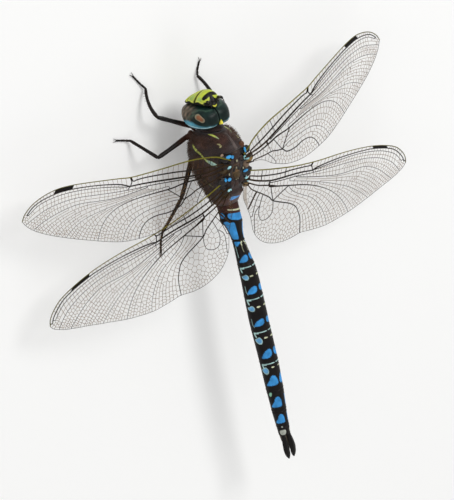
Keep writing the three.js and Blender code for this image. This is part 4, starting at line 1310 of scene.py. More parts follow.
# %% Courses of the forewing's veins
FORE_VEINS = {
    "costa": [(s, c + 0.06) for s, c in LEADING["fore"][1:]],
    "subcosta": [(0.2, 0.5), (3.4, 0.66), (7.2, 0.6), (10.8, 0.42), (13.7, 0.38), (16.6, 0.4), (18.7, 0.55),
        (19.6, 0.7), (20.1, 0)],
    "radius": [(0.2, 0.95), (2.5, 1.4), (4.9, 1.66), (7.5, 1.68), (10.8, 1.6), (14.3, 1.5), (17.8, 1.48),
        (20.3, 1.55), (21.2, 1.3), (22.5, 0.9), (24.5, 0.58), (27, 0.32), (30, 0.15), (33, 0.1), (35, 0.2),
        (36.95, 0.45), (39.6, 1.25), (41.4, 2.3), (42.6, 3.7)],
    "sector": [(20.3, 1.6), (21.4, 1.55), (24, 1.15), (26.9, 0.85), (29.9, 0.66), (33.7, 0.68), (37.2, 1.1),
        (40.2, 2.1), (42.2, 3.7)],
    "second": [(6.2, 2.1), (10.5, 2.1), (15.5, 2.1), (19.6, 2.25), (23.4, 2.25), (28.4, 2.1), (31.9, 2),
        (35.2, 2.3), (38.5, 3.1), (41.5, 4.7), (42.8, 5.6)],
    "third": [(16.6, 2.4), (19.6, 2.9), (22, 3.25), (25, 3.42), (28, 3.35), (31, 3.25), (33.5, 3.5),
        (36.5, 4.3), (39.5, 5.6), (41.2, 6.8)],
    "cubital": [(0.2, 1.75), (2.8, 2.25), (5.3, 2.55), (7.1, 2.68)],
    "middle": [(5.2, 1.75), (5.3, 2.45), (8.4, 2.75), (11.35, 3.4), (14.3, 3.7), (17.8, 4.05), (20.2, 4.45),
        (22.5, 5.05), (24.3, 5.9), (25.8, 7.1), (26.9, 8.8), (27.6, 11)],
    "fourth": [(12, 2.9), (17.8, 3.55), (22.8, 4.55), (27, 5.4), (30.5, 6.4), (33, 7.8), (34.6, 9.3)],
    "rear": [(0.2, 2.6), (3.4, 3.75), (5.8, 4.5), (7.2, 5.3), (8.56, 6), (9.6, 7.2), (12, 8), (14.5, 8.2),
        (16.6, 8.9), (17.8, 10.2), (18.4, 11.9)],
    "arch": [(8.56, 6), (11, 5.9), (14, 6.4), (17.2, 7.1), (19.6, 8.3), (21.2, 10), (22, 12)],
    "triangle": [(7.1, 2.65), (8.56, 6), (12.3, 3.5)],
    "anal": [(4.4, 4.1), (5.3, 5.6), (5.9, 7)],
}
print("veins of the forewing:", len(FORE_VEINS))

# %% Courses of the hindwing's veins
HIND_VEINS = {
    "costa": [(s, c + 0.06) for s, c in LEADING["hind"][1:]],
    "subcosta": [(0.2, 0.8), (3, 1.2), (6.35, 1.35), (9.3, 1.3), (12.2, 1), (15.5, 0.8), (17.2, 0.7),
        (17.7, 0.12)],
    "radius": [(0.2, 1.5), (2.5, 2), (6.05, 2.4), (8.7, 2.3), (11.6, 2), (14.9, 1.75), (17.8, 1.72),
        (18.8, 1.35), (20.5, 0.9), (22.5, 0.5), (25.5, 0), (28.4, -0.35), (31.4, -0.6), (34, -0.68),
        (38.1, -0.35), (40.8, 0.35), (43.1, 1.9), (43.9, 3)],
    "sector": [(18, 1.75), (19.6, 1.5), (22.5, 1), (25.5, 0.5), (28.4, 0.1), (31.4, -0.12), (35, -0.1),
        (38.1, 0.3), (41, 1.2), (43.2, 2.8)],
    "second": [(6.3, 2.9), (10, 2.75), (13.7, 2.4), (17.5, 2.3), (21.5, 2), (25.5, 1.6), (29.5, 1.25),
        (33.5, 1.15), (37.5, 1.65), (40.7, 2.85), (43, 4.6)],
    "third": [(13.7, 2.6), (17.3, 3), (20.8, 3.3), (24.6, 3.5), (27.5, 3.35), (30, 3), (32.3, 2.75),
        (34.5, 3), (37.5, 4), (41, 6)],
    "cubital": [(0.2, 2.2), (3, 3), (6.3, 3.4), (8.7, 3.8)],
    "middle": [(6.2, 2.5), (6.35, 3.6), (8.7, 3.8), (11.65, 4.05), (15.5, 4.35), (18.1, 4.7), (20.8, 5.35),
        (23.1, 6.1), (24.9, 6.9), (27.2, 8.3), (29.3, 10.2), (30.4, 11.6)],
    "fourth": [(12, 3.2), (17, 3.8), (21.5, 4.55), (25.5, 5.4), (29.5, 6.5), (33, 8), (35.3, 9.3)],
    "rear": [(0.2, 2.7), (1.35, 3.6), (2.8, 4.2), (4.9, 5), (6.9, 5.85), (8.1, 6.65), (10.8, 7.3),
        (13.1, 7.8), (14.9, 8.6), (15.9, 9.7), (16.9, 11.3), (17.6, 14.2)],
    "arch": [(11.8, 4.1), (13.5, 5.4), (16.2, 6.4), (19.4, 7.5), (22, 9.4), (23.9, 11.6), (24.8, 13.4)],
    "triangle": [(6.8, 3.75), (8.1, 6.65), (11.8, 4.1)],
    "loop": [(8.1, 6.65), (8.5, 8.2), (8.3, 9.4), (7, 10.3), (5.6, 10.2), (4.7, 8.8), (4.6, 7.2), (4.9, 5)],
    "anal": [(4.6, 7.2), (3.6, 9), (4.6, 12.6)],
    "anal_front": [(2.9, 4.3), (2.3, 5.6), (1.55, 7.35)],
    "anal_rear": [(3.9, 4.65), (3.25, 6.4), (3, 9.2)],
}
print("veins of the hindwing:", len(HIND_VEINS))

# %% Vein lines
# Half thickness of a vein in mm at its root and at its tip; one that isn't listed is like the anal vein
VEIN_RADII = {
    "costa": (0.13, 0.09), "subcosta": (0.14, 0.09), "radius": (0.18, 0.1), "sector": (0.12, 0.06),
    "second": (0.09, 0.05), "third": (0.1, 0.05), "cubital": (0.14, 0.1), "middle": (0.14, 0.05),
    "fourth": (0.06, 0.04), "rear": (0.12, 0.045), "arch": (0.06, 0.04), "triangle": (0.09, 0.09),
    "anal": (0.07, 0.045), "anal_front": (0.15, 0.12), "fan": (0.044, 0.036), "rear_edge": (0.045, 0.04)
}


def vein_line(name, stops):
    """A smooth line through the stops; only the triangle keeps its corners and closes."""
    if name != "triangle":
        return smooth_line(stops, 24 * len(stops))
    return np.vstack([np.linspace(a, b, 12) for a, b in zip(stops, stops[1:] + stops[:1])])


vein_lines = {kind: {name: vein_line(name, stops) for name, stops in veins.items()}
              for kind, veins in (("fore", FORE_VEINS), ("hind", HIND_VEINS))}
print("main veins:", {kind: len(veins) for kind, veins in vein_lines.items()})

# %% Pleats of the wing
PLEAT_HEIGHT = {
    "costa": 0.1, "subcosta": -0.14, "radius": 0.13, "second": -0.06, "third": 0.05, "middle": 0.06,
    "fourth": -0.05, "rear": 0.05
}


def wing_lift(kind, sheet):
    """Height of the wing skin at a point of the sheet."""
    s, c = sheet[:, 0], sheet[:, 1]
    total, weight = np.zeros(len(s)), np.full(len(s), 0.25)
    for name, height in PLEAT_HEIGHT.items():
        line = vein_lines[kind][name]
        inside = ramp(s, line[0, 0] - 0.5, line[0, 0] + 1.5)
        inside *= 1 - ramp(s, line[-1, 0] - 2, line[-1, 0] + 0.5)
        pull = inside * np.exp(-((c - np.interp(s, line[:, 0], line[:, 1])) / 0.42) ** 2)
        total += pull * height * (1 - 0.6 * s / 44)
        weight += pull
    return total / np.maximum(weight, 0.25) * 0.9


print("pleats under", len(PLEAT_HEIGHT), "veins")

# %% [markdown]
# ## Wing skin
# The skin is clear with a faint smoky tint, and amber near the root. It is one thin sheet from the front edge
# to the rear edge, and it shows mostly by its sheen.

# %% Finish of the wing skin
WRINKLE_SCALE, WRINKLE_DEPTH = 350.0, 0.00005
skin_finish, tree = new_finish("wing_skin")
place = add_node(tree, "TexCoord", {})["Object"]
noise = add_node(tree, "TexNoise", {"Vector": place, "Scale": WRINKLE_SCALE})["Fac"]
flap = read_mask(tree, "flap")
smoke = lay_over(tree, read_mask(tree, "amber"), colour("#6A4F26"), colour("#7E5A24"))
cover = tree.nodes.new("ShaderNodeMath")
cover.operation = "MULTIPLY_ADD"
fill(tree, cover, {0: flap, 1: 0.6, 2: between(tree, noise, 0.04, 0.11)})
bump = add_node(tree, "Bump", {"Height": noise, "Strength": 0.3, "Distance": WRINKLE_DEPTH})
fill(tree, tree.nodes["Principled BSDF"], {
    "Base Color": lay_over(tree, flap, smoke, colour("#8F7C62")), "Alpha": cover.outputs["Value"],
    "Roughness": between(tree, noise, 0.18, 0.34), "Normal": bump["Normal"]})
print("wrinkles in mm:", WRINKLE_DEPTH * 1000)

# %% Wing skins
ACROSS = 56
FLAP = [(-0.5, 2.6), (-0.45, 3.8), (0.05, 5.4), (1.2, 7)]


def skin_sheet(kind):
    front, rear = wing_edges[kind]
    t = np.linspace(0, 1, ACROSS) ** 1.25
    sheet = (front[:, None] * (1 - t)[None, :, None] + rear[:, None] * t[None, :, None]).reshape(-1, 2)
    return np.column_stack([sheet, wing_lift(kind, sheet)])


for kind in WINGS:
    sheet = skin_sheet(kind)
    amber = (1 - ramp(sheet[:, 0], 0.5, 3.0)) * 0.4
    near_root = 1 - ramp(sheet[:, 0], 3.0, 9.0)
    flap = (kind == "hind") * stripe(sheet[:, :2], FLAP, [0.4, 0.5, 0.45, 0.1], 0.25)
    for side_name, milk, clearing in (("left", 0.3, 0.22), ("right", 1, 0.06)):
        make_piece(f"{kind}wing_skin_{side_name}", on_wing(kind, side_name, sheet),
                   grid_faces(EDGE_POINTS, ACROSS, closed=False), skin_finish, "wing",
                   replaces=[f"{kind}wing_{side_name}"],
                   masks={"amber": amber, "flap": flap * milk - clearing * near_root})

# %% [markdown]
# ## Where the veins end
# A vein never stops in the middle of nothing: it meets another vein or the wing's edge. So each free end is
# carried on to the nearest line within a millimetre, and the edges count as lines too.

# %% Join the vein ends


def join_ends(lines, names):
    for name in names:
        for end in (0, -1):
            tip = lines[name][end]
            others = np.vstack([line for other, line in lines.items() if other != name])
            away = np.linalg.norm(others - tip, axis=1)
            if 0.03 < away.min() < 1.1:
                bridge = np.linspace(tip, others[away.argmin()], 8)[1:]
                lines[name] = np.vstack([bridge[::-1], lines[name]] if end == 0 else [lines[name], bridge])


wing_lines = {}
for kind in WINGS:
    lines = {name: line.copy() for name, line in vein_lines[kind].items()}
    lines["front_edge"], lines["rear_edge"] = wing_edges[kind]
    join_ends(lines, [name for name in vein_lines[kind] if name not in ("costa", "triangle")])
    wing_lines[kind] = lines
print("lines on a forewing:", len(wing_lines["fore"]))

# %% [markdown]
# ## Fans of thin veins
# Towards the rear edge the fields between the main veins widen, and thin veins spring up to fill them, like
# the ribs of a fan. Each runs midway between its two neighbours and starts where the gap has grown to two
# cells, again and again until no gap is wide.

# %% Fans
FAN_FIELDS = {
    "fore": [("sector", 23, "second", 21), ("second", 18.5, "third", 17), ("third", 17, "fourth", 14),
        ("fourth", 14, "middle", 14), ("middle", 12, "arch", 9), ("arch", 9, "rear", 9)],
    "hind": [("sector", 21, "second", 19), ("second", 15, "third", 14), ("third", 14, "fourth", 12.5),
        ("fourth", 13, "middle", 13), ("middle", 12.5, "arch", 12.2), ("arch", 12.2, "rear", 8.6)],
}
FAN_GAP = 0.72


def part_from(line, s_from):
    line = line[line[:, 0] >= s_from]
    run = np.append(0, np.cumsum(np.linalg.norm(np.diff(line, axis=0), axis=1)))
    at = np.linspace(0, run[-1], 60)
    return np.column_stack([np.interp(at, run, line[:, axis]) for axis in (0, 1)])


def fan(front, rear):
    gap = np.linalg.norm(front - rear, axis=1)
    wide = np.flatnonzero(gap > 2 * FAN_GAP)
    if len(wide) < 8:
        return []
    middle = (front + rear) / 2
    return fan(front, middle) + [middle[wide[0]:]] + fan(middle, rear)


for kind in WINGS:
    lines = wing_lines[kind]
    ribs = []
    for front, front_from, rear, rear_from in FAN_FIELDS[kind]:
        ribs += fan(part_from(lines[front], front_from), part_from(lines[rear], rear_from))
    names = [f"fan{k}" for k in range(len(ribs))]
    lines.update(zip(names, ribs))
    join_ends(lines, names)
    print(f"{kind} wing: {len(ribs)} thin fan veins")

# %% [markdown]
# ## Ladders of cross veins
# In the narrow strips behind the front edge the cross veins stand like the rungs of a ladder, about a
# millimetre apart. Two near the root are thicker and run through both front strips. At the nodus, halfway
# along, a thick kinked rung ties the front three veins together.

# %% Ladders
# Front vein, rear vein, first and last s, spacing and slant of the rungs
LADDERS = {
    "fore": [("costa", "subcosta", 0.7, 19.2, 1.08, 0.06), ("subcosta", "radius", 0.9, 19.2, 1.02, 0),
        ("costa", "radius", 20.9, 33, 0.98, -0.12), ("costa", "radius", 37.2, 41.6, 0.55, -0.1),
        ("radius", "sector", 21.6, 41, 0.82, 0.1), ("sector", "second", 20.9, 40.5, 0.72, -0.1),
        ("radius", "second", 7.2, 19.6, 1, 0), ("second", "third", 17.4, 27.5, 0.85, 0.1),
        ("middle", "fourth", 12.8, 20.5, 0.9, 0)],
    "hind": [("costa", "subcosta", 0.7, 17.2, 1.05, 0.06), ("subcosta", "radius", 0.9, 17.2, 1.02, 0),
        ("costa", "radius", 18.6, 33.8, 0.95, -0.12), ("costa", "radius", 38.4, 43, 0.55, -0.1),
        ("radius", "sector", 19.4, 42.6, 0.82, 0.1), ("sector", "second", 18.6, 41.8, 0.74, -0.1),
        ("radius", "second", 7.4, 17.8, 0.98, 0), ("second", "third", 14.4, 26, 0.85, 0.1),
        ("middle", "fourth", 12.8, 20, 0.9, 0)],
}


def line_at(kind, name, s):
    line = vein_lines[kind][name]
    order = np.argsort(line[:, 0])
    return np.interp(s, line[order, 0], line[order, 1])


def ladder_rungs(kind, chance):
    rungs = []
    for front, rear, s0, s1, gap, slant in LADDERS[kind]:
        count = int((s1 - s0) / gap)
        s = s0 + (s1 - s0) * (np.arange(count) + 0.5) / count + chance.uniform(-0.12, 0.12, count) * gap
        foot = s + slant * 2
        rungs.append(np.stack([np.column_stack([s, line_at(kind, front, s)]),
                               np.column_stack([foot, line_at(kind, rear, foot)])], axis=1))
    return np.vstack(rungs)


def inside_ladder(kind, points):
    s, c = points[:, 0], points[:, 1]
    inside = np.zeros(len(points), bool)
    for front, rear, s0, s1, _, _ in LADDERS[kind]:
        between_veins = (c > line_at(kind, front, s)) & (c < line_at(kind, rear, s))
        inside |= (s > s0 - 0.4) & (s < s1 + 0.4) & between_veins
    return inside


print("rungs on a forewing:", len(ladder_rungs("fore", np.random.default_rng(1))))

# %% [markdown]
# ## Cells of the wing
# Behind the ladders the skin is divided into hundreds of small cells, large near the root and fine towards
# the tip. They grow like soap film: each wall lies midway between two centres. So the centres are strewn at
# random and spread until they are even. Each field between main veins is done by itself, with every centre
# near a vein mirrored across it, which makes the cell walls meet the vein squarely.

# %% Flooding a map


def run_max(label, free):
    """Carries the highest label along each column of the map until a wall."""
    out = label.copy()
    for k in range(1, len(out)):
        step = out[k - 1]
        out[k] = np.where(free[k] & (step > out[k]), step, out[k])
    return out


def flood(label, free):
    """Spreads the highest label through every field of the map until nothing changes."""
    while True:
        spread = label.copy()
        for axis in (0, 1):
            for way in (1, -1):
                moved = np.roll(label, way, axis=axis)
                spread = np.where(free & (moved > spread), moved, spread)
        # a long run along each row and column at once keeps the number of rounds low
        for _ in range(2):
            spread = run_max(spread, free)
            spread = run_max(spread.T, free.T).T
            spread = run_max(spread[::-1], free[::-1])[::-1]
            spread = run_max(spread.T[::-1], free.T[::-1])[::-1].T
        if (spread == label).all():
            return label
        label = spread


print("flooded strip:", run_max(np.array([3, 1, -1, 2]), np.array([True, True, False, True])))

# %% Fields between the veins
CELL_MAP_STEP = 0.09
MAP_LOW, MAP_HIGH = np.array([-0.3, -2.2]), np.array([45.3, 16.6])
MAP_SIZE = ((MAP_HIGH - MAP_LOW) / CELL_MAP_STEP).astype(int)


def on_map(points):
    """The square of the map that each point of the sheet falls in."""
    return ((points - MAP_LOW) / CELL_MAP_STEP).astype(int)


def fields_of_wing(kind):
    """Labels a fine map of the wing by the field between main veins that each point is in."""
    wall = np.zeros(MAP_SIZE, bool)
    for line in wing_lines[kind].values():
        fine = np.vstack([np.linspace(a, b, 12) for a, b in zip(line[:-1], line[1:])])
        for shift in ((0, 0), (1, 0), (0, 1)):
            spot = np.clip(on_map(fine) + shift, 0, MAP_SIZE - 1)
            wall[spot[:, 0], spot[:, 1]] = True
    i, j = np.meshgrid(np.arange(MAP_SIZE[0]), np.arange(MAP_SIZE[1]), indexing="ij")
    s, c = MAP_LOW[0] + (i + 0.5) * CELL_MAP_STEP, MAP_LOW[1] + (j + 0.5) * CELL_MAP_STEP
    front, rear = (np.interp(s, edge[:, 0], edge[:, 1]) for edge in wing_edges[kind])
    free = (c > front) & (c < rear) & (s > 0.05) & ~wall
    label = np.where(free, np.arange(free.size).reshape(MAP_SIZE), -1)
    return flood(label, free), np.stack([s, c], axis=2)


fields = {kind: fields_of_wing(kind) for kind in WINGS}
print("fields:", {kind: len(np.unique(fields[kind][0])) - 1 for kind in WINGS})

# %% Size of a cell


def cell_size(kind, points):
    """Wanted width of a cell: wide near the root, fine near the tip and the rear edge."""
    s, c = points[:, 0], points[:, 1]
    rear = wing_edges[kind][1]
    to_rear = np.interp(s, rear[:, 0], rear[:, 1]) - c
    base = np.interp(s, [0, 6, 12, 22, 34, 44], [1.05, 1.12, 0.98, 0.78, 0.62, 0.54])
    return base * (0.78 + 0.22 * ramp(to_rear, 0.3, 3.5))


print("a cell near the root in mm:", cell_size("fore", np.array([[6.0, 3]])).round(2))

# %% Seeds of the cells
ROUNDS = 14


def nearest(points, centres):
    best = np.empty(len(points), int)
    for start in range(0, len(points), 4000):
        part = points[start:start + 4000]
        best[start:start + 4000] = (-2 * part @ centres.T + (centres ** 2).sum(1)).argmin(axis=1)
    return best


def even_centres(kind, points, chance):
    size = cell_size(kind, points)
    count = int(round(np.sum(CELL_MAP_STEP ** 2 / (0.92 * size ** 2))))
    if count < 2:
        return points.mean(axis=0, keepdims=True)
    weight = size ** -2 / np.sum(size ** -2)
    centres = points[chance.choice(len(points), count, replace=False, p=weight)].copy()
    pull = size ** -4
    for _ in range(ROUNDS):
        owner = nearest(points, centres)
        total = np.bincount(owner, pull, minlength=count)
        keep = total > 0
        for axis in (0, 1):
            moved = np.bincount(owner, pull * points[:, axis], minlength=count)
            centres[keep, axis] = moved[keep] / total[keep]
    return centres


print("rounds of spreading:", ROUNDS)

# %% [markdown]
# ## Cell walls
# A wall lies as far from one centre as from its neighbour. Joining neighbouring centres into triangles gives
# it directly: it runs between the middles of the circles round two triangles that share a side.

# %% Mirrored seeds


def mirrored_centres(kind, centres, label_at, field):
    """Each centre near a line, mirrored across it."""
    ghosts = []
    reach = 1.6 * cell_size(kind, centres)
    for line in wing_lines[kind].values():
        away = np.linalg.norm(centres[:, None] - line[None], axis=2)
        k = away.argmin(axis=1)
        near = (away.min(axis=1) < reach) & (k > 0) & (k < len(line) - 1)
        ghosts.append(2 * line[k[near]] - centres[near])
    ghosts = np.vstack(ghosts)
    return ghosts[label_at(ghosts) != field]


def circle_middle(a, b, c):
    """Middle of the circle through three points, or None where they lie on a line."""
    d = 2 * (a[0] * (b[1] - c[1]) + b[0] * (c[1] - a[1]) + c[0] * (a[1] - b[1]))
    if abs(d) < 1e-9:
        return None
    aa, bb, cc = a @ a, b @ b, c @ c
    return ((aa * (b[1] - c[1]) + bb * (c[1] - a[1]) + cc * (a[1] - b[1])) / d,
            (aa * (c[0] - b[0]) + bb * (a[0] - c[0]) + cc * (b[0] - a[0])) / d)


print("middle of a circle:", *circle_middle(*np.array([[0.0, 0], [2, 0], [0, 2]])))

# %% Walls between the cells
SMALLEST_FIELD, SHORTEST_WALL, LONGEST_WALL = 0.5, 0.04, 3.0


def walls_between(centres, ghosts):
    """Ends of the wall between each two neighbours that are both real."""
    every = np.vstack([centres, ghosts])
    _, _, triangles, origin, _, _ = delaunay_2d_cdt([Vector(p) for p in every.tolist()], [], [], 0, 1e-6)
    edges = {}
    for tri in triangles:
        seeds = [origin[i][0] for i in tri]
        middle = circle_middle(*every[seeds])
        if middle is None:
            continue
        for pair in zip(seeds, seeds[1:] + seeds[:1]):
            edges.setdefault(tuple(sorted(pair)), []).append(middle)
    return [ends for (i, j), ends in edges.items() if j < len(centres) and len(ends) == 2]


def cell_walls(kind, chance):
    label, spots = fields[kind]

    def label_at(points):
        at = np.clip(on_map(points), 0, MAP_SIZE - 1)
        return label[at[:, 0], at[:, 1]]

    walls = []
    for field in np.unique(label[label >= 0]):
        points = spots[label == field]
        points = points[~inside_ladder(kind, points)]
        if len(points) * CELL_MAP_STEP ** 2 < SMALLEST_FIELD:
            continue
        centres = even_centres(kind, points, chance)
        walls += walls_between(centres, mirrored_centres(kind, centres, label_at, field))
    walls = np.array(walls)
    span = np.linalg.norm(walls[:, 0] - walls[:, 1], axis=1)
    return walls[(span > SHORTEST_WALL) & (span < LONGEST_WALL)]


cross_veins = {}
for kind in WINGS:
    chance = np.random.default_rng(7 if kind == "fore" else 11)
    cross_veins[kind] = np.vstack([cell_walls(kind, chance), ladder_rungs(kind, chance)])
    print(f"{kind} wing: {len(cross_veins[kind])} cross veins")

# %% [markdown]
# ## From lines to solid veins
# A cross vein is a few hundredths of a millimetre thick, and a wing has hundreds, so each is a plain
# four-sided bar.

# %% Thin bars for the cross veins


def thin_bars(kind, pairs, radius):
    """One closed four-sided bar for each pair of sheet points."""
    ends = np.stack([np.column_stack([pairs[:, k], wing_lift(kind, pairs[:, k])]) for k in (0, 1)], axis=1)
    ahead = unit(ends[:, 1] - ends[:, 0])
    side = np.column_stack([-ahead[:, 1], ahead[:, 0], 0 * ahead[:, 0]])
    over = np.cross(ahead, side)
    r = np.broadcast_to(radius, len(pairs))[:, None, None]
    ring = np.stack([side, over, -side, -over], axis=1) * r
    points = np.concatenate([ends[:, :1] + ring, ends[:, 1:] + ring], axis=1).reshape(-1, 3)
    faces = []
    for k in range(0, len(points), 8):
        faces += [(k, k + 1, k + 5, k + 4), (k + 1, k + 2, k + 6, k + 5), (k + 2, k + 3, k + 7, k + 6),
                  (k + 3, k, k + 4, k + 7), (k + 3, k + 2, k + 1, k), (k + 4, k + 5, k + 6, k + 7)]
    return points, faces


print("points in a bar:", len(thin_bars("fore", cross_veins["fore"][:1], 0.03)[0]))

# %% [markdown]
# ## Vein work of each wing
# The main veins are swept tubes that thin towards the tip; the front edge is the thickest and is
# yellow-olive, the others dark brown. The dark spot near the tip, the pterostigma, is a thickened cell that
# works as a flutter weight, so it is a small solid plate between the two front veins.

# %% Thick cross veins
HEAVY_RUNGS = {
    "fore": [((20.35, -0.2), (19.95, 0.75), 0.13), ((19.95, 0.75), (20.3, 1.6), 0.12),
        ((20.3, 1.6), (20.9, 2.15), 0.09), ((3.1, -1.3), (3.2, 1.5), 0.08), ((7.6, -1.4), (8.1, 1.66), 0.08),
        ((5.2, 1.7), (5.25, 2.5), 0.1), ((5.25, 2.5), (5.4, 4.4), 0.06)],
    "hind": [((17.7, 0.05), (17.5, 0.75), 0.13), ((17.5, 0.75), (18, 1.75), 0.12),
        ((18, 1.75), (18.5, 2.25), 0.09), ((3.4, -0.1), (3.6, 2.1), 0.08), ((10.2, 0.2), (10.3, 2.1), 0.08),
        ((6.2, 2.4), (6.3, 3.6), 0.1)],
}
print("thick cross veins:", {kind: len(rungs) for kind, rungs in HEAVY_RUNGS.items()})

# %% Plate of the wing spot
STIGMA = {"fore": (33.1, 36.95), "hind": (34, 38.1)}
SPOT_ROWS, SPOT_COLUMNS = 30, 8


def stigma_plate(kind):
    """A low dome above and below the sheet, closed by a rim."""
    s = np.linspace(*STIGMA[kind], SPOT_ROWS)
    front, rear = line_at(kind, "costa", s) + 0.02, line_at(kind, "radius", s) - 0.02
    across = np.linspace(0, 1, SPOT_COLUMNS)
    share = np.tile(across, SPOT_ROWS)
    c = front[:, None] + (rear - front)[:, None] * across
    sheet = np.column_stack([np.repeat(s, SPOT_COLUMNS) + share * 0.35, c.ravel()])
    lift = wing_lift(kind, sheet)
    dome = 0.08 + 0.05 * np.sin(np.pi * share)
    points = np.vstack([np.column_stack([sheet, lift + dome]), np.column_stack([sheet, lift - dome])])
    faces = grid_faces(SPOT_ROWS, SPOT_COLUMNS, closed=False)
    square = np.arange(SPOT_ROWS * SPOT_COLUMNS).reshape(SPOT_ROWS, SPOT_COLUMNS)
    rim = np.concatenate([square[0], square[1:, -1], square[-1, -2::-1], square[-2:0:-1, 0]]).tolist()
    below = square.size
    faces += [tuple(i + below for i in reversed(face)) for face in faces]
    faces += [(a, b, b + below, a + below) for a, b in zip(rim, rim[1:] + rim[:1])]
    return points, faces


print("points in a wing spot:", len(stigma_plate("fore")[0]))

# %% Paths of the main veins
ROOT_DEPTH = 0.25


def vein_path(kind, name, line):
    """A line with fewer points, led on into the hinge and lifted onto the pleats."""
    path = line[::3] if len(line) > 40 else line
    if not np.allclose(path[-1], line[-1]):
        path = np.vstack([path, line[-1:]])
    if line[0, 0] < 0.9 and name != "rear_edge":
        path = np.vstack([[(-1.5, line[0, 1] * 0.6 + 0.4), (-0.7, line[0, 1] * 0.85 + 0.15)], path])
    return np.column_stack([path, wing_lift(kind, path) - ROOT_DEPTH * (1 - ramp(path[:, 0], -1.5, 0))])


print("points on the radius:", len(vein_path("fore", "radius", wing_lines["fore"]["radius"])))

# %% Vein work
CROSS_RADIUS = 0.034


def vein_work(kind):
    """All veins of a wing as one mesh on its sheet, and its masks."""
    parts, paints = [], []
    for name, line in wing_lines[kind].items():
        if name == "front_edge":
            continue
        thick, thin = VEIN_RADII.get(name.rstrip("0123456789"), VEIN_RADII["anal"])
        path = vein_path(kind, name, line)
        parts.append(tube(path, thin + (thick - thin) * (1 - ramp(path[:, 0], 8.0, 30.0)), 6))
        paints.append((name == "costa", 0, 0.8 * name.startswith("fan")))
    heavy = np.array([ends for *ends, _ in HEAVY_RUNGS[kind]], float)
    heavy_radii = np.array([radius for *_, radius in HEAVY_RUNGS[kind]])
    parts += [thin_bars(kind, cross_veins[kind], CROSS_RADIUS), thin_bars(kind, heavy, heavy_radii),
              stigma_plate(kind)]
    paints += [(0, 0, 1), (0, 0.3, 0), (0, 1, 0)]
    points, faces, part = gather(parts)
    olive, spot, net = np.array(paints, float)[part].T
    olive = olive * (1 - 0.45 * ramp(points[:, 0], 22, 40))
    amber = (1 - ramp(points[:, 0], 1.5, 8.0)) * 0.8
    return points, faces, {"amber": amber, "olive": olive, "spot": spot, "net": net}


VEIN_PAINTS = [("net", "#735430"), ("amber", "#33230F"), ("olive", "#706A22"), ("spot", "#0C0806")]
vein_finish = shell_finish("wing_vein", "#1A110A", VEIN_PAINTS, mottle=0.25, pits=0.3, gloss=0.1)
for kind in WINGS:
    sheet, faces, masks = vein_work(kind)
    for _, side_name in SIDES:
        make_piece(f"{kind}wing_veins_{side_name}", on_wing(kind, side_name, sheet), faces, vein_finish,
                   "wing", masks=masks, smooth=False)

# %% [markdown]
# ## Wing hinges
# A wing hangs on small hard lumps at its root, with a softer amber one at the back. They are flattened
# balls like the back plates, set in the wing's own sheet, and they hide the ends of the veins.

# %% Wing hinges
# Place (s, c, lift) and half size on the wing's sheet, and whether the lump is the amber one behind
HINGES = {
    "fore": [((-0.15, -0.1, -0.2), (0.6, 0.6, 0.24), 0), ((-0.3, 1.2, -0.25), (0.7, 0.55, 0.2), 0),
        ((-0.2, 2.1, -0.3), (0.9, 0.5, 0.12), 1)],
    "hind": [((-0.15, 0.25, -0.2), (0.6, 0.6, 0.24), 0), ((-0.3, 1.6, -0.25), (0.7, 0.6, 0.2), 0),
        ((-0.2, 2.5, -0.3), (0.9, 0.5, 0.12), 1)],
}
hinge_parts, hinge_amber = [], []
for kind, lumps in HINGES.items():
    for side_name in ("left", "right"):
        for place, half, amber in lumps:
            hinge_parts.append((on_wing(kind, side_name, plate_ball * half + place), plate_faces))
            hinge_amber.append(np.full(len(plate_ball), amber * (0.9 if side_name == "right" else 0.15)))
hinge_points, hinge_faces, _ = gather(hinge_parts)
hinge_finish = shell_finish("wing_hinge", "#15100D", [("amber", "#8A7145")], roughness=0.45, mottle=0.4)
make_piece("wing_hinges", hinge_points, hinge_faces, hinge_finish, "thorax",
           masks={"amber": np.concatenate(hinge_amber)})

# %% [markdown]
# ## Studio
# The model stands on a broad pale floor under three large soft lamps and an even pale sky. The camera looks
# down from ahead and to the left through a long lens, from far off, so that near and far parts keep their
# true sizes. Floor and sky show white to the camera and stay moderate as lights.

# %% Glow and floor


def glow_to_camera(tree, base, glow):
    """Adds a glow that only the camera and clear or shiny surfaces see."""
    ray = add_node(tree, "LightPath", {})
    seen = ray["Is Camera Ray"]
    for key in ("Is Glossy Ray", "Is Transmission Ray"):
        most = tree.nodes.new("ShaderNodeMath")
        most.operation = "MAXIMUM"
        seen = fill(tree, most, {0: seen, 1: ray[key]}).outputs["Value"]
    return between(tree, seen, base, glow)


FLOOR_HALF, FLOOR_GLOW = 1.5, 0.16
pale_floor, tree = new_finish("pale_floor")
fill(tree, tree.nodes["Principled BSDF"], {
    "Base Color": (0.84, 0.84, 0.83, 1), "Roughness": 0.9, "Emission Color": (1, 1, 1, 1),
    "Emission Strength": glow_to_camera(tree, 0.0, FLOOR_GLOW)})
floor_mesh = bpy.data.meshes.new("floor")
corners = [(x * FLOOR_HALF, y * FLOOR_HALF, 0) for x, y in ((-1, -1), (1, -1), (1, 1), (-1, 1))]
floor_mesh.from_pydata(corners, [], [(0, 1, 2, 3)])
floor_mesh.materials.append(pale_floor)
floor = bpy.data.objects.new("floor", floor_mesh)
bpy.context.scene.collection.objects.link(floor)
print("floor is", floor.dimensions.x, "m wide")

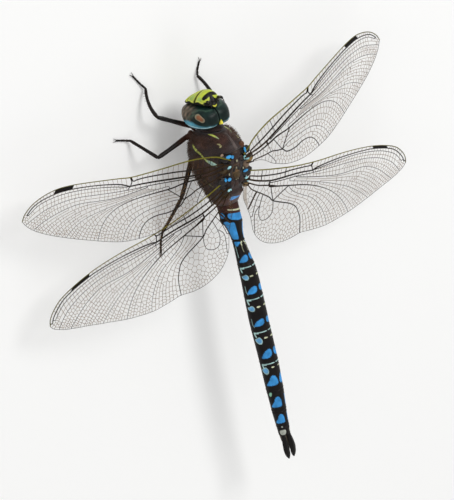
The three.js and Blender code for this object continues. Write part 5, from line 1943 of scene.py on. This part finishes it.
# %% Sky
SKY_LIGHT = 0.4
sky = bpy.data.worlds.new("pale_sky")
bpy.context.scene.world = sky
sky.use_nodes = True
fill(sky.node_tree, sky.node_tree.nodes["Background"], {
    "Color": (1, 1, 1, 1), "Strength": glow_to_camera(sky.node_tree, SKY_LIGHT, 1.0)})
print("world:", bpy.context.scene.world.name)

# %% Lamps


def soft_lamp(name, place, size, watts):
    lamp = bpy.data.lights.new(name, "AREA")
    lamp.shape, lamp.size, lamp.energy = "DISK", size, watts
    holder = bpy.data.objects.new(name, lamp)
    holder.location = place
    holder.rotation_euler = (-Vector(place)).to_track_quat("-Z", "Y").to_euler()
    bpy.context.scene.collection.objects.link(holder)


soft_lamp("key_lamp", (-0.25, -0.35, 0.6), 0.35, 2.6)
soft_lamp("fill_lamp", (0.6, -0.2, 0.45), 0.5, 0.9)
soft_lamp("back_lamp", (0.1, 0.6, 0.5), 0.4, 0.8)
print("lamps:", len(bpy.data.lights))

# %% Camera
LOOK = np.array([0.5694, -0.342, 0.7475])
RIGHT = np.array([-0.7369, 0.1906, 0.6486])
UP = np.array([-0.3643, -0.9202, -0.1435])
FRAME_MM, CAMERA_AWAY, SENSOR_MM = 93.46, 2500.0, 36
aim = np.array([0, 0, 14.0]) - 1.963 * RIGHT - 15.14 * UP
lens = bpy.data.cameras.new("camera")
lens.lens, lens.sensor_width, lens.sensor_fit = SENSOR_MM * CAMERA_AWAY / FRAME_MM, SENSOR_MM, "AUTO"
lens.clip_end = 10
camera = bpy.data.objects.new("camera", lens)
bpy.context.scene.collection.objects.link(camera)
turned = Matrix((RIGHT, UP, LOOK)).transposed().to_4x4()
camera.matrix_world = Matrix.Translation(Vector(in_metres(aim + LOOK * CAMERA_AWAY)[0])) @ turned
bpy.context.scene.camera = camera
bpy.context.scene.view_settings.view_transform = "Standard"
print("camera is", CAMERA_AWAY / 1000, "m away")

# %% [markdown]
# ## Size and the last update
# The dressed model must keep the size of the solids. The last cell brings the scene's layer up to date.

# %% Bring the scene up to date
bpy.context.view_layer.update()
